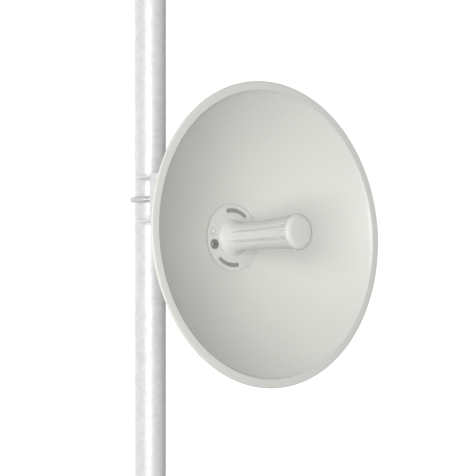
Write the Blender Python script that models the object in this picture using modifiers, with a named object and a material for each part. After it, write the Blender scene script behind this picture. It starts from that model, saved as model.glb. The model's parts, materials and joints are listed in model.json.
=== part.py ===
# Wireless bridge dish antenna on a length of mast pipe.
# Metres, +Z up. The origin is the middle of the mast's flat foot, and the dish looks along -Y.
import bpy
import bmesh
from math import atan2, cos, exp, pi, radians, sin, sqrt
from mathutils import Matrix, Vector

# Mast: 1.5 inch pipe with a plug in each end
MAST_R = 0.02415
MAST_WALL = 0.0029
MAST_TOP = 0.900
PLUG_LIP = 0.003
PLUG_DEPTH = 0.025

# Clearances
GAP = 0.0003
CLAMP_GAP = 0.0005

# M8 fasteners
BOLT_R = 0.004
BOLT_HOLE_R = 0.0045
HEAD_FLATS = 0.013
HEAD_H = 0.0053
NUT_H = 0.0065
WASHER_R = 0.008
WASHER_T = 0.0016
BOLT_END = 0.003

# Pole bracket: a folded channel behind the dish, held by one U-bolt
CLAMP_Z = 0.5088
PLATE_T = 0.003
WEB_BACK = -0.045
BRACKET_HALF_W = 0.040
BRACKET_HALF_H = 0.035
JAW_END = -0.008
JAW_HALF_ANGLE = radians(50)
CHEEK_NOSE = -0.110
CHEEK_TOP = 0.548
LEG_FRONT = -0.0645
LEG_X = MAST_R + CLAMP_GAP + BOLT_R

# Tilt: the dish turns about the pivot bolt, and a second bolt slides in an arc slot
PIVOT_Y = -0.082
PIVOT_Z = 0.533
TILT = radians(3.5)
SLOT_R = 0.040
SLOT_HALF_ANGLE = radians(21)

# Dish, seen from the pivot with the dish level
HUB_AHEAD = 0.108
AXIS_DROP = 0.090

# Reflector; heights are ahead of the hub's front face
RIM_R = 0.220
BOWL_R = 0.208
LIP_H = 0.0848
VERTEX_H = -0.007
HOLE_R = 0.024
SHEET_T = 0.0016
SKIRT_H = 0.0755
FOCUS = BOWL_R**2 / (4 * (LIP_H - VERTEX_H))

# Hub cover and its twist-lock
HUB_R = 0.0492
HUB_EDGE = 0.0008
SLOT_PITCH_R = 0.0403
SLOT_W = 0.0060
SLOT_DEPTH = 0.003
SLOT_FROM = radians(49)
SLOT_TO = radians(101)
LUG_FROM = radians(52)
LUG_TO = radians(99)
SCREW_PITCH_R = 0.0374
SCREW_ANGLE = radians(194.4)
SCREW_R = 0.0069
SCREW_TOP = 0.0025
SEAT_DEPTH = 0.001
BOSS_PITCH_R = 0.0382
BOSS_ANGLE = radians(164.6)
BOSS_R = 0.0026
BOSS_TOP = 0.0022

# Feed: a boom with a ridge along each side, and a round cap
COLLAR_R = 0.0276
BELL_FALL = 0.007
WAIST_R = 0.0196
WAIST_H = 0.050
BOOM_END = 0.1365
BOOM_END_R = 0.0250
GROOVE_DEPTH = 0.0050
RIDGE_HALF_ANGLE = radians(16)
GROOVE_WALL = radians(4)
CAP_R = 0.0257
CAP_FACE_H = 0.1440
CAP_EDGE_R = 0.009
CAP_EDGE_H = 0.005

# Behind the reflector
RING_R = 0.066
RING_BORE = 0.0390
RING_BACK = -0.0145
ARM_INNER = 0.0415
ARM_OUTER = ARM_INNER + PLATE_T
UNDER_HEAD = ARM_OUTER + GAP + WASHER_T + GAP
ARM_FOOT = 0.058
ARM_FOOT_HALF_H = 0.030
ARM_BOLT_X = 0.0510
ARM_BOLT_Z = 0.020
STUD_R = 0.003
STUD_HOLE_R = 0.0034
HOUSING_R = 0.038
HOUSING_BACK = -0.062
HOUSING_GAP = 0.0025
COVER_R = 0.0365
COVER_BACK = -0.068
GLAND_H = -0.040
GLAND_R = 0.0095
GLAND_BORE = 0.0045
GLAND_MOUTH = -0.026

ROUND = 24


# Scene and materials

def clear_scene():
    for obj in list(bpy.data.objects):
        bpy.data.objects.remove(obj)


def new_collection(name, guides=False):
    made = bpy.data.collections.new(name)
    bpy.context.scene.collection.children.link(made)
    made.hide_render = guides
    return made


clear_scene()
PARTS = new_collection("bridge_dish_antenna")
CUTTERS = new_collection("cutters", guides=True)


def principled(name, rgb, roughness, metallic):
    mat = bpy.data.materials.new(name)
    mat.use_nodes = True
    shader = mat.node_tree.nodes["Principled BSDF"]
    shader.inputs["Base Color"].default_value = (*rgb, 1)
    shader.inputs["Roughness"].default_value = roughness
    shader.inputs["Metallic"].default_value = metallic
    mat.diffuse_color = (*rgb, 1)
    return mat


ZINC = principled("galvanised_steel", (0.62, 0.63, 0.64), 0.42, 0.9)
BOLT = principled("zinc_plated_bolt", (0.55, 0.56, 0.57), 0.32, 1.0)
COAT = principled("powder_coated_sheet", (0.71, 0.71, 0.68), 0.45, 0.0)
SHELL = principled("moulded_plastic", (0.68, 0.68, 0.66), 0.4, 0.0)
DARK = principled("dark_screw", (0.07, 0.07, 0.075), 0.4, 0.8)
RUBBER = principled("black_plastic", (0.03, 0.03, 0.032), 0.55, 0.0)
CAST = principled("cast_aluminium", (0.58, 0.59, 0.60), 0.5, 0.8)


# Making shapes

def finish(obj, name, mat, parent=None):
    obj.name = name
    obj.data.name = name
    obj.data.materials.clear()
    obj.data.materials.append(mat)
    for old in list(obj.users_collection):
        old.objects.unlink(obj)
    PARTS.objects.link(obj)
    obj.parent = parent
    if obj.type == "MESH":
        obj.data.shade_smooth()
        obj.data.set_sharp_from_angle(angle=radians(35))
    return obj


def as_cutter(obj):
    for old in list(obj.users_collection):
        old.objects.unlink(obj)
    CUTTERS.objects.link(obj)
    obj.hide_render = True
    obj.display_type = "WIRE"
    return obj


def baked(obj, name):
    # The evaluated shape as a plain mesh in the same place
    bpy.context.view_layer.update()
    mesh = bpy.data.meshes.new_from_object(obj.evaluated_get(bpy.context.evaluated_depsgraph_get()))
    work = bmesh.new()
    work.from_mesh(mesh)
    bmesh.ops.remove_doubles(work, verts=work.verts, dist=1e-6)
    bmesh.ops.recalc_face_normals(work, faces=work.faces)
    work.to_mesh(mesh)
    work.free()
    made = bpy.data.objects.new(name, mesh)
    bpy.context.scene.collection.objects.link(made)
    made.matrix_world = obj.matrix_world.copy()
    bpy.data.objects.remove(obj)
    return made


def boolean(obj, other, operation="DIFFERENCE"):
    mod = obj.modifiers.new(operation.lower(), "BOOLEAN")
    mod.operation = operation
    mod.solver = "EXACT"
    mod.object = as_cutter(other)
    return mod


def drop_cutters(start):
    for cutter in list(CUTTERS.objects):
        if cutter.name.startswith(start):
            bpy.data.objects.remove(cutter)


def turned(name, profile, closed=True, steps=ROUND):
    # Profile points are (radius, height); at the outside they run downwards
    mesh = bpy.data.meshes.new(name)
    count = len(profile)
    edges = [(i, i + 1) for i in range(count - 1)]
    if closed:
        edges.append((count - 1, 0))
    mesh.from_pydata([(r, 0, h) for r, h in profile], edges, [])
    obj = bpy.data.objects.new(name, mesh)
    bpy.context.scene.collection.objects.link(obj)
    screw = obj.modifiers.new("turn", "SCREW")
    screw.steps = steps
    screw.render_steps = steps
    screw.use_merge_vertices = True
    screw.merge_threshold = 1e-6
    screw.use_smooth_shade = True
    return obj


def box(name, low, high):
    bpy.ops.mesh.primitive_cube_add(size=1)
    obj = bpy.context.object
    obj.name = name
    size = Vector(high) - Vector(low)
    middle = (Vector(high) + Vector(low)) / 2
    obj.data.transform(Matrix.Translation(middle) @ Matrix.Diagonal((*size, 1)))
    return obj


def drum(name, radius, depth, middle, turn=(0, 0, 0), sides=20):
    bpy.ops.mesh.primitive_cylinder_add(vertices=sides, radius=radius, depth=depth)
    obj = bpy.context.object
    obj.name = name
    obj.location = middle
    obj.rotation_euler = turn
    return obj


def rod(name, points, radius):
    data = bpy.data.curves.new(name, "CURVE")
    data.dimensions = "3D"
    data.bevel_depth = radius
    data.bevel_resolution = 2
    data.use_fill_caps = True
    spline = data.splines.new("POLY")
    spline.points.add(len(points) - 1)
    for spot, place in zip(spline.points, points):
        spot.co = (*place, 1)
    obj = bpy.data.objects.new(name, data)
    bpy.context.scene.collection.objects.link(obj)
    return obj


def plate(name, outline, thickness, holes=()):
    # A flat outline in X and Y, with its thickness along Z about the middle
    data = bpy.data.curves.new(name, "CURVE")
    data.dimensions = "2D"
    data.fill_mode = "BOTH"
    data.extrude = thickness / 2
    for loop in (outline, *holes):
        spline = data.splines.new("POLY")
        spline.points.add(len(loop) - 1)
        spline.use_cyclic_u = True
        for spot, (x, y) in zip(spline.points, loop):
            spot.co = (x, y, 0, 1)
    obj = bpy.data.objects.new(name, data)
    bpy.context.scene.collection.objects.link(obj)
    return obj


def arc(middle, radius, start, end, steps):
    return [(middle[0] + radius * cos(start + (end - start) * i / steps),
             middle[1] + radius * sin(start + (end - start) * i / steps)) for i in range(steps + 1)]


def ring_points(middle, radius, steps=20):
    return arc(middle, radius, 0, 2 * pi, steps)[:-1]


def rounded(corners, steps=6):
    # corners are (x, y, radius) in order; each corner becomes an arc tangent to both sides
    points = []
    for i, (x, y, radius) in enumerate(corners):
        here = Vector((x, y))
        to_last = (Vector(corners[i - 1][:2]) - here).normalized()
        to_next = (Vector(corners[(i + 1) % len(corners)][:2]) - here).normalized()
        if radius == 0:
            points.append((x, y))
            continue
        half = to_last.angle(to_next) / 2
        middle = here + (to_last + to_next).normalized() * (radius / sin(half))
        reach = radius * cos(half) / sin(half)
        first = here + to_last * reach - middle
        last = here + to_next * reach - middle
        sweep = first.angle(last)
        if first.x * last.y - first.y * last.x < 0:
            sweep = -sweep
        start = atan2(first.y, first.x)
        points += arc(middle, radius, start, start + sweep, steps)
    return points


def arc_slot(middle, pitch, width, start, end, steps=10):
    # The outline of a curved slot with round ends
    half = width / 2
    outer = arc(middle, pitch + half, start, end, steps)
    inner = arc(middle, pitch - half, end, start, steps)
    tip = (middle[0] + pitch * cos(end), middle[1] + pitch * sin(end))
    tail = (middle[0] + pitch * cos(start), middle[1] + pitch * sin(start))
    return (outer + arc(tip, half, end, end + pi, 6)[1:-1]
            + inner + arc(tail, half, start + pi, start + 2 * pi, 6)[1:-1])


def hexagon(name, flats, height, bore=0.0):
    outline = ring_points((0, 0), flats / sqrt(3), 6)
    holes = [ring_points((0, 0), bore)] if bore else []
    return plate(name, outline, height, holes)


def empty(name, place, turn, parent=None):
    obj = bpy.data.objects.new(name, None)
    PARTS.objects.link(obj)
    obj.parent = parent
    obj.location = place
    obj.rotation_euler = turn
    return obj


# Frames: the bracket turns about the mast, the dish about the pivot bolt
BRACKET = empty("azimuth_axis", (0, 0, CLAMP_Z), (0, 0, 0))
DISH = empty("elevation_axis", (0, PIVOT_Y, PIVOT_Z - CLAMP_Z), (-TILT, 0, 0), BRACKET)
BORE = (pi / 2, 0, 0)
SIDEWAYS = (pi / 2, 0, pi / 2)


def on_boresight(obj, height=0.0, x=0.0, z=0.0):
    # A turned or flat piece whose own +Z looks out of the dish
    obj.location = (x, -HUB_AHEAD - height, z - AXIS_DROP)
    obj.rotation_euler = BORE
    return obj


def along_y(obj, place):
    obj.location = place
    obj.rotation_euler = BORE
    return obj


def across(obj, place):
    # The piece's own X runs along Y, its own Y along Z and its own Z along X
    obj.location = place
    obj.rotation_euler = SIDEWAYS
    return obj


# Mast

def make_mast():
    inner = MAST_R - MAST_WALL
    tube = turned("mast_tube", [(MAST_R, MAST_TOP - PLUG_LIP), (MAST_R, PLUG_LIP),
                                (inner, PLUG_LIP), (inner, MAST_TOP - PLUG_LIP)], steps=48)
    finish(tube, "mast_tube", ZINC)
    stem = inner - GAP
    lip_under = PLUG_LIP - GAP
    soft = 0.001
    foot = turned("mast_foot_plug", [(0, PLUG_DEPTH), (stem, PLUG_DEPTH), (stem, lip_under),
                                     (MAST_R, lip_under), (MAST_R, soft), (MAST_R - soft, 0), (0, 0)],
                  closed=False)
    finish(foot, "mast_foot_plug", RUBBER)
    top = turned("mast_top_plug", [(0, MAST_TOP), (MAST_R - soft, MAST_TOP), (MAST_R, MAST_TOP - soft),
                                   (MAST_R, MAST_TOP - lip_under), (stem, MAST_TOP - lip_under),
                                   (stem, MAST_TOP - PLUG_DEPTH), (0, MAST_TOP - PLUG_DEPTH)],
                 closed=False)
    finish(top, "mast_top_plug", RUBBER)


# Pole bracket and U-bolt; heights here are above or below the clamp's middle

def web_front():
    return WEB_BACK - PLATE_T


def make_pole_bracket():
    web = box("pole_bracket", (-BRACKET_HALF_W, web_front(), -BRACKET_HALF_H),
              (BRACKET_HALF_W, WEB_BACK, BRACKET_HALF_H))
    apex = -(MAST_R + CLAMP_GAP) / sin(JAW_HALF_ANGLE)
    mouth = (JAW_END - apex) * sin(JAW_HALF_ANGLE) / cos(JAW_HALF_ANGLE)
    back = web_front() + PLATE_T / 2
    jaw_outline = [(-BRACKET_HALF_W, back), (BRACKET_HALF_W, back), (BRACKET_HALF_W, JAW_END - 0.01),
                   (BRACKET_HALF_W - 0.006, JAW_END), (mouth, JAW_END), (0.006, apex - 0.0055),
                   (-0.006, apex - 0.0055), (-mouth, JAW_END), (-BRACKET_HALF_W + 0.006, JAW_END),
                   (-BRACKET_HALF_W, JAW_END - 0.01)]
    for side in (-1, 1):
        jaw = baked(plate("jaw", jaw_outline, PLATE_T), "jaw")
        jaw.location.z = side * (BRACKET_HALF_H - PLATE_T / 2)
        boolean(web, jaw, "UNION")
    pivot = (PIVOT_Y, PIVOT_Z - CLAMP_Z)
    low = -BRACKET_HALF_H
    high = CHEEK_TOP - CLAMP_Z
    outline = rounded([(WEB_BACK, low, 0), (CHEEK_NOSE, low, 0.012), (CHEEK_NOSE, high, 0.018),
                       (WEB_BACK - 0.012, high, 0.010), (WEB_BACK, BRACKET_HALF_H, 0)])
    down = -pi / 2
    holes = [ring_points(pivot, BOLT_HOLE_R),
             arc_slot(pivot, SLOT_R, 2 * BOLT_HOLE_R, down - SLOT_HALF_ANGLE, down + SLOT_HALF_ANGLE)]
    for side in (-1, 1):
        cheek = across(plate("cheek", outline, PLATE_T, holes), (0, 0, 0))
        cheek = baked(cheek, "cheek")
        cheek.location.x = side * (BRACKET_HALF_W - PLATE_T / 2)
        boolean(web, cheek, "UNION")
        hole = drum("leg_hole", BOLT_HOLE_R, 3 * PLATE_T, (side * LEG_X, WEB_BACK, 0), BORE)
        boolean(web, hole)
    for cutter in CUTTERS.objects:
        cutter.parent = BRACKET
    finish(web, "pole_bracket", ZINC, BRACKET)


def make_u_bolt():
    bend = arc((0, 0), LEG_X, 0, pi, 24)
    leg = [(LEG_X, LEG_FRONT), (LEG_X, WEB_BACK / 2)]
    points = [*leg, *bend, *[(-x, y) for x, y in reversed(leg)]]
    u_bolt = rod("u_bolt", [(x, y, 0) for x, y in points], BOLT_R)
    u_bolt = baked(u_bolt, "u_bolt")
    finish(u_bolt, "u_bolt", BOLT, BRACKET)
    for side, word in ((-1, "left"), (1, "right")):
        y = web_front() - GAP - WASHER_T / 2
        washer = along_y(make_washer(), (side * LEG_X, y, 0))
        finish(washer, "u_bolt_washer_" + word, BOLT, BRACKET)
        y -= WASHER_T / 2 + GAP + NUT_H / 2
        nut = along_y(make_nut(), (side * LEG_X, y, 0))
        finish(nut, "u_bolt_nut_" + word, BOLT, BRACKET)


def make_washer():
    return baked(plate("washer", ring_points((0, 0), WASHER_R, 24), WASHER_T,
                       [ring_points((0, 0), BOLT_R + GAP)]), "washer")


def make_nut():
    return baked(hexagon("nut", HEAD_FLATS, NUT_H, BOLT_R + GAP), "nut")


# Pivot bolt and lock bolt, both right through from side to side

def cross_bolt(name, y, z, parent):
    # Head on the -X side, nut on the +X side, a washer under each
    end = UNDER_HEAD + NUT_H + BOLT_END
    start = UNDER_HEAD + HEAD_H / 2
    shank = drum("shank", BOLT_R, end + start, ((end - start) / 2, 0, 0), (0, pi / 2, 0))
    head = across(baked(hexagon("head", HEAD_FLATS, HEAD_H), "head"), (-start, 0, 0))
    head = baked(head, "head")
    boolean(head, baked(shank, "shank"), "UNION")
    bolt = baked(head, name)
    bolt.data.transform(bolt.matrix_world)
    bolt.matrix_world = Matrix.Identity(4)
    drop_cutters("shank")
    bolt.location = (0, y, z)
    finish(bolt, name + "_bolt", BOLT, parent)
    x = UNDER_HEAD + NUT_H / 2
    nut = across(make_nut(), (x, y, z))
    finish(nut, name + "_nut", BOLT, parent)
    for side, word in ((-1, "left"), (1, "right")):
        x = side * (ARM_OUTER + GAP + WASHER_T / 2)
        washer = across(make_washer(), (x, y, z))
        finish(washer, name + "_washer_" + word, BOLT, parent)


# Reflector and hub, all on the dish's axis

def bowl(radius):
    return VERTEX_H + radius**2 / (4 * FOCUS)


def make_reflector():
    steps = 9
    profile = []
    for i in range(steps + 1):
        radius = HOLE_R + (BOWL_R - 0.0008 - HOLE_R) * i / steps
        profile.append((radius, bowl(radius)))
    profile += [(BOWL_R + 0.0006, LIP_H), (BOWL_R + 0.0025, LIP_H), (RIM_R - 0.0022, LIP_H - 0.0018),
                (RIM_R - 0.0006, LIP_H - 0.0026), (RIM_R, LIP_H - 0.0042), (RIM_R, SKIRT_H)]
    reflector = on_boresight(turned("reflector", profile, closed=False, steps=64))
    sheet = reflector.modifiers.new("sheet", "SOLIDIFY")
    sheet.thickness = SHEET_T
    sheet.offset = -1
    sheet.use_even_offset = True
    finish(reflector, "reflector", COAT, DISH)


def spot_on_hub(pitch, angle):
    return pitch * cos(angle), pitch * sin(angle)


def make_hub_cover():
    profile = [(0, 0), (HUB_R - HUB_EDGE, 0), (HUB_R, -HUB_EDGE), (HUB_R, bowl(HUB_R) + GAP)]
    for i in range(1, 4):
        radius = HUB_R * (1 - i / 3)
        profile.append((radius, bowl(radius) + GAP))
    cover = baked(turned("hub_cover", profile, closed=False, steps=48), "hub_cover")
    for turn in (0, pi):
        slot = plate("slot", arc_slot((0, 0), SLOT_PITCH_R, SLOT_W, SLOT_FROM + turn, SLOT_TO + turn),
                     2 * SLOT_DEPTH)
        boolean(cover, baked(slot, "slot"))
        x, z = spot_on_hub(SCREW_PITCH_R, SCREW_ANGLE + turn)
        boolean(cover, drum("screw_seat", SCREW_R + 0.0007, 2 * SEAT_DEPTH, (x, z, 0)))
    cover = baked(cover, "hub_cover")
    drop_cutters(("slot", "screw_seat"))
    finish(on_boresight(cover), "hub_cover", SHELL, DISH)


def make_hub_fittings():
    lug_width = SLOT_W - 0.0014
    lug_depth = SLOT_DEPTH - 3 * GAP
    lug_middle = -SLOT_DEPTH / 2 - GAP / 2
    soft = SCREW_R / 4
    for turn, side, word in ((0, "upper", "left"), (pi, "lower", "right")):
        lug = plate("lug", arc_slot((0, 0), SLOT_PITCH_R, lug_width, LUG_FROM + turn, LUG_TO + turn, 6),
                    lug_depth)
        finish(on_boresight(baked(lug, "lug"), lug_middle), "feed_lug_" + side, SHELL, DISH)
        x, z = spot_on_hub(SCREW_PITCH_R, SCREW_ANGLE + turn)
        screw = turned("screw", [(0, SCREW_TOP), (SCREW_R - 1.5 * soft, SCREW_TOP),
                                 (SCREW_R - 0.4 * soft, SCREW_TOP - 0.4 * soft), (SCREW_R, SCREW_TOP - soft),
                                 (SCREW_R, GAP - SEAT_DEPTH), (0, GAP - SEAT_DEPTH)], closed=False)
        finish(on_boresight(screw, 0, x, z), "hub_screw_" + word, DARK, DISH)
        x, z = spot_on_hub(BOSS_PITCH_R, BOSS_ANGLE + turn)
        boss = turned("boss", [(0, BOSS_TOP), (BOSS_R / 2, BOSS_TOP), (BOSS_R, BOSS_TOP / 2), (BOSS_R, GAP),
                               (0, GAP)], closed=False, steps=16)
        finish(on_boresight(boss, 0, x, z), "hub_boss_" + word, SHELL, DISH)


# Feed: a boom with a ridge along each side between two grooves, and a round cap

def boom_radius(height):
    # A bell at the hub, a waist, and a slow flare up to the cap
    bell = (COLLAR_R - WAIST_R) * exp(-height / BELL_FALL)
    flare = (BOOM_END_R - WAIST_R) * (max(height - WAIST_H, 0) / (BOOM_END - WAIST_H))**1.6
    return WAIST_R + bell + flare


def ease(share):
    # Runs smoothly from 0 to 1
    share = min(max(share, 0), 1)
    return share * share * (3 - 2 * share)


def groove(angle, height):
    # Depth below the round section; angle is measured from the middle of the nearer ridge
    deep = GROOVE_DEPTH * ease((height - 0.002) / 0.020) * ease((BOOM_END - height) / 0.014)
    spread = ease((height - 0.003) / 0.024)
    wall_end = RIDGE_HALF_ANGLE + GROOVE_WALL
    floor_end = wall_end + radians(8) * spread
    lobe = radians(6) + radians(26) * spread
    if angle < wall_end:
        return deep * ease((angle - RIDGE_HALF_ANGLE) / GROOVE_WALL)
    return deep * (1 - ease((angle - floor_end) / lobe))


def section_angles():
    # Angles round the boom, close together where the ridges and grooves need them
    quarter = [radians(a) for a in (0, 8, 16, 20, 28, 38, 48, 58, 72)]
    half = quarter + [pi / 2] + [pi - a for a in reversed(quarter[1:])]
    return half + [pi + a for a in half]


def make_feed_body():
    stations = 16
    heights = [GAP + (BOOM_END - GAP) * (i / stations)**1.4 for i in range(stations + 1)]
    work = bmesh.new()
    rings = []
    for height in heights:
        ring = []
        for angle in section_angles():
            from_ridge = min(angle % pi, pi - angle % pi)
            radius = boom_radius(height) - groove(from_ridge, height)
            ring.append(work.verts.new((radius * cos(angle), radius * sin(angle), height)))
        rings.append(ring)
    for low, high in zip(rings, rings[1:]):
        for i in range(len(low)):
            j = (i + 1) % len(low)
            work.faces.new((low[i], low[j], high[j], high[i]))
    work.faces.new(list(reversed(rings[0])))
    work.faces.new(rings[-1])
    mesh = bpy.data.meshes.new("feed_body")
    work.to_mesh(mesh)
    work.free()
    obj = bpy.data.objects.new("feed_body", mesh)
    bpy.context.scene.collection.objects.link(obj)
    finish(on_boresight(obj), "feed_body", SHELL, DISH)


def make_feed_cap():
    # A flat face, a wide rounded edge and a short side
    face_r = CAP_R - CAP_EDGE_R
    rim_h = CAP_FACE_H - CAP_EDGE_H
    profile = [(0, CAP_FACE_H)]
    for i in range(7):
        turn = pi / 2 * i / 6
        profile.append((face_r + CAP_EDGE_R * sin(turn), rim_h + CAP_EDGE_H * cos(turn)))
    profile += [(CAP_R, rim_h - 0.0012), (BOOM_END_R, BOOM_END + GAP), (0, BOOM_END + GAP)]
    finish(on_boresight(turned("feed_cap", profile, closed=False, steps=40)), "feed_cap", SHELL, DISH)


# Behind the reflector

def sheet_back(radius):
    slope = radius / (2 * FOCUS)
    return bowl(radius) - SHEET_T * sqrt(1 + slope**2)


def arm_bolt_spots():
    return [(sx * ARM_BOLT_X, sz * ARM_BOLT_Z) for sx in (-1, 1) for sz in (1, -1)]


def make_hub_ring():
    profile = []
    for i in range(3):
        radius = RING_BORE + (RING_R - RING_BORE) * i / 2
        profile.append((radius, sheet_back(radius) - GAP - 0.0001))
    profile += [(RING_R, RING_BACK), (RING_BORE, RING_BACK)]
    ring = baked(turned("hub_ring", profile, steps=40), "hub_ring")
    for i, (x, z) in enumerate(arm_bolt_spots()):
        boolean(ring, drum("stud_hole", STUD_HOLE_R, 0.010, (x, z, RING_BACK), sides=16))
    ring = baked(ring, "hub_ring")
    drop_cutters("stud_hole")
    finish(on_boresight(ring), "hub_ring", CAST, DISH)


def make_tilt_arms():
    front = -HUB_AHEAD - RING_BACK + GAP
    low = -AXIS_DROP - ARM_FOOT_HALF_H
    high = -AXIS_DROP + ARM_FOOT_HALF_H
    inset = 0.0005
    edge = front + inset
    outline = rounded([(edge, low + inset, 0), (edge, high - inset, 0), (-0.022, 0.0165, 0.012),
                       (0.0155, 0.0165, 0.014), (0.0155, -SLOT_R - 0.015, 0.014), (-0.040, low + inset, 0.02)])
    holes = [ring_points((0, 0), BOLT_HOLE_R), ring_points((0, -SLOT_R), BOLT_HOLE_R)]
    for side, word in ((-1, "left"), (1, "right")):
        web = across(plate("arm", outline, PLATE_T, holes), (side * (ARM_INNER + PLATE_T / 2), 0, 0))
        arm = baked(web, "arm")
        near, far = sorted((side * (ARM_INNER + PLATE_T / 2), side * ARM_FOOT))
        boolean(arm, box("arm_foot", (near, front, low), (far, front + PLATE_T, high)), "UNION")
        for x, z in arm_bolt_spots():
            if x * side > 0:
                boolean(arm, drum("foot_hole", STUD_HOLE_R, 4 * PLATE_T, (x, front, z - AXIS_DROP), BORE, 16))
        arm = baked(arm, "arm")
        arm.data.transform(arm.matrix_world)
        arm.matrix_world = Matrix.Identity(4)
        drop_cutters(("arm_foot", "foot_hole"))
        finish(arm, "tilt_arm_" + word, ZINC, DISH)
    for i, (x, z) in enumerate(arm_bolt_spots()):
        head_h = 0.004
        back = RING_BACK - GAP - PLATE_T - GAP
        head = hexagon("stud_head", 0.010, head_h)
        head.location.z = back - head_h / 2
        head = baked(head, "stud_head")
        shank_top = RING_BACK + 0.004
        shank = drum("stud", STUD_R, shank_top - back + 0.002, (0, 0, (shank_top + back - 0.002) / 2), sides=16)
        boolean(head, shank, "UNION")
        stud = baked(head, "arm_bolt")
        stud.data.transform(stud.matrix_world)
        stud.matrix_world = Matrix.Identity(4)
        drop_cutters("stud")
        finish(on_boresight(stud, 0, x, z), "arm_bolt_%d" % (i + 1), BOLT, DISH)


def make_housing():
    front = sheet_back(HOLE_R) - GAP - HOUSING_GAP
    soft = 0.003
    housing = turned("rear_housing", [(0, front), (HOUSING_R, front), (HOUSING_R, HOUSING_BACK + soft),
                                      (HOUSING_R - 0.0009, HOUSING_BACK + 0.0009),
                                      (HOUSING_R - soft, HOUSING_BACK), (0, HOUSING_BACK)],
                     closed=False, steps=48)
    housing = baked(housing, "rear_housing")
    boolean(housing, drum("gland_hole", GLAND_R - 0.0015, 0.024, (0, -HOUSING_R, GLAND_H), BORE, 24))
    housing = baked(housing, "rear_housing")
    drop_cutters("gland_hole")
    finish(on_boresight(housing), "rear_housing", SHELL, DISH)
    top = HOUSING_BACK - GAP
    cover = turned("housing_cover", [(0, top), (COVER_R, top), (COVER_R, COVER_BACK + 0.002),
                                     (COVER_R - 0.002, COVER_BACK), (0, COVER_BACK)],
                   closed=False, steps=48)
    finish(on_boresight(cover), "housing_cover", SHELL, DISH)
    screw = turned("ground_screw", [(0, -0.0003), (0.0045, -0.0003), (0.0045, -0.0025), (0.0035, -0.0033),
                                    (0, -0.0033)], closed=False, steps=20)
    finish(on_boresight(screw, COVER_BACK, 0.020, -0.014), "ground_screw", BOLT, DISH)


def make_port_gland():
    # The cable inlet under the housing: a hexagon, a domed nut and an open bore
    stem = GLAND_R - 0.002
    hex_r = GLAND_R + 0.0015
    hex_top = -GAP - 0.0008
    profile = [(GLAND_BORE, 0.008), (stem, 0.008), (stem, hex_top), (hex_r, hex_top), (hex_r, -0.007),
               (GLAND_R, -0.007), (GLAND_R, GLAND_MOUTH + 0.007), (GLAND_R - 0.003, GLAND_MOUTH),
               (GLAND_BORE, GLAND_MOUTH)]
    gland = turned("port_gland", profile, steps=24)
    gland.location = (0, -HUB_AHEAD - GLAND_H, -AXIS_DROP - HOUSING_R)
    finish(gland, "port_gland", RUBBER, DISH)


make_mast()
make_pole_bracket()
make_u_bolt()
cross_bolt("pivot", PIVOT_Y, PIVOT_Z - CLAMP_Z, BRACKET)
cross_bolt("lock", 0, -SLOT_R, DISH)
make_reflector()
make_hub_cover()
make_hub_fittings()
make_feed_body()
make_feed_cap()
make_hub_ring()
make_tilt_arms()
make_housing()
make_port_gland()
bpy.context.view_layer.update()
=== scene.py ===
# Wireless bridge dish antenna on a mast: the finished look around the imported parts.
import json
from math import atan, atan2, cos, exp, pi, radians, sin, sqrt, tan

import bmesh
import bpy
from bpy.props import FloatProperty, FloatVectorProperty, IntProperty, PointerProperty
from mathutils import Matrix, Vector


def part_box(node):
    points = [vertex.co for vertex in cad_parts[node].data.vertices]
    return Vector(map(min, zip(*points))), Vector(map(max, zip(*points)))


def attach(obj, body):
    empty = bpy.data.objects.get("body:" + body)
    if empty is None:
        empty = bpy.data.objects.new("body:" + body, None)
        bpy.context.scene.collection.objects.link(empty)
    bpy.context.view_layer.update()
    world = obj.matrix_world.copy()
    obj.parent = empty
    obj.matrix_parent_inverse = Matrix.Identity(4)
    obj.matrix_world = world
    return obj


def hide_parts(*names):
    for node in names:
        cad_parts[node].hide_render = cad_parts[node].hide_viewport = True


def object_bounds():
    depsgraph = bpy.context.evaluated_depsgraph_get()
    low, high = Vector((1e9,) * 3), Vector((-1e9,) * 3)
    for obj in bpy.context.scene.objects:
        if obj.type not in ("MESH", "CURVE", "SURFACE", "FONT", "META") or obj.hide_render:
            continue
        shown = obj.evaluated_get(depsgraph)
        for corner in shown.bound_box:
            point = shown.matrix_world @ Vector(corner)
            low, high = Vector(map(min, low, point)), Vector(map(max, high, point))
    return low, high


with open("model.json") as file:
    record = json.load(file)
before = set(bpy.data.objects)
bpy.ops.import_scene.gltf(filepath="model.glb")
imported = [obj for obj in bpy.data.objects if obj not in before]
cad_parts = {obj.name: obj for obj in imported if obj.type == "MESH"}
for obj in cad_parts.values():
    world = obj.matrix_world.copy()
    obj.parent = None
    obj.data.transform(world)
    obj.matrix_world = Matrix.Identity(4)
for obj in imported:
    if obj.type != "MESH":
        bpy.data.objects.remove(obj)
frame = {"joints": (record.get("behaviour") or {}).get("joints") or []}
CAD_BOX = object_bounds()

bl_info = {
    "name": "Bridge dish antenna",
    "version": (1, 0, 0),
    "blender": (4, 5, 0),
    "location": "3D View > Sidebar > Dish",
    "description": "Models and finishes a wireless bridge dish antenna on its mast",
    "category": "Object",
}

# Places read from the frame
JOINT = {joint["name"]: joint for joint in frame["joints"]}
PIVOT = Vector(JOINT["elevation"]["pos_m"])
CLAMP_Z = JOINT["azimuth"]["pos_m"][2]


def half_width(node):
    low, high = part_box(node)
    return (high.x - low.x) / 2


MAST_R = half_width("mast_tube")
MAST_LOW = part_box("mast_tube")[0].z
MAST_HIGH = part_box("mast_tube")[1].z
MAST_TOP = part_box("mast_top_plug")[1].z
RIM_R = half_width("reflector")
HUB_R = half_width("hub_cover")
CAP_R = half_width("feed_cap")
HOUSING_R = half_width("rear_housing")
COVER_R = half_width("housing_cover")

MM = 0.001
GAP = 0.3 * MM

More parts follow.
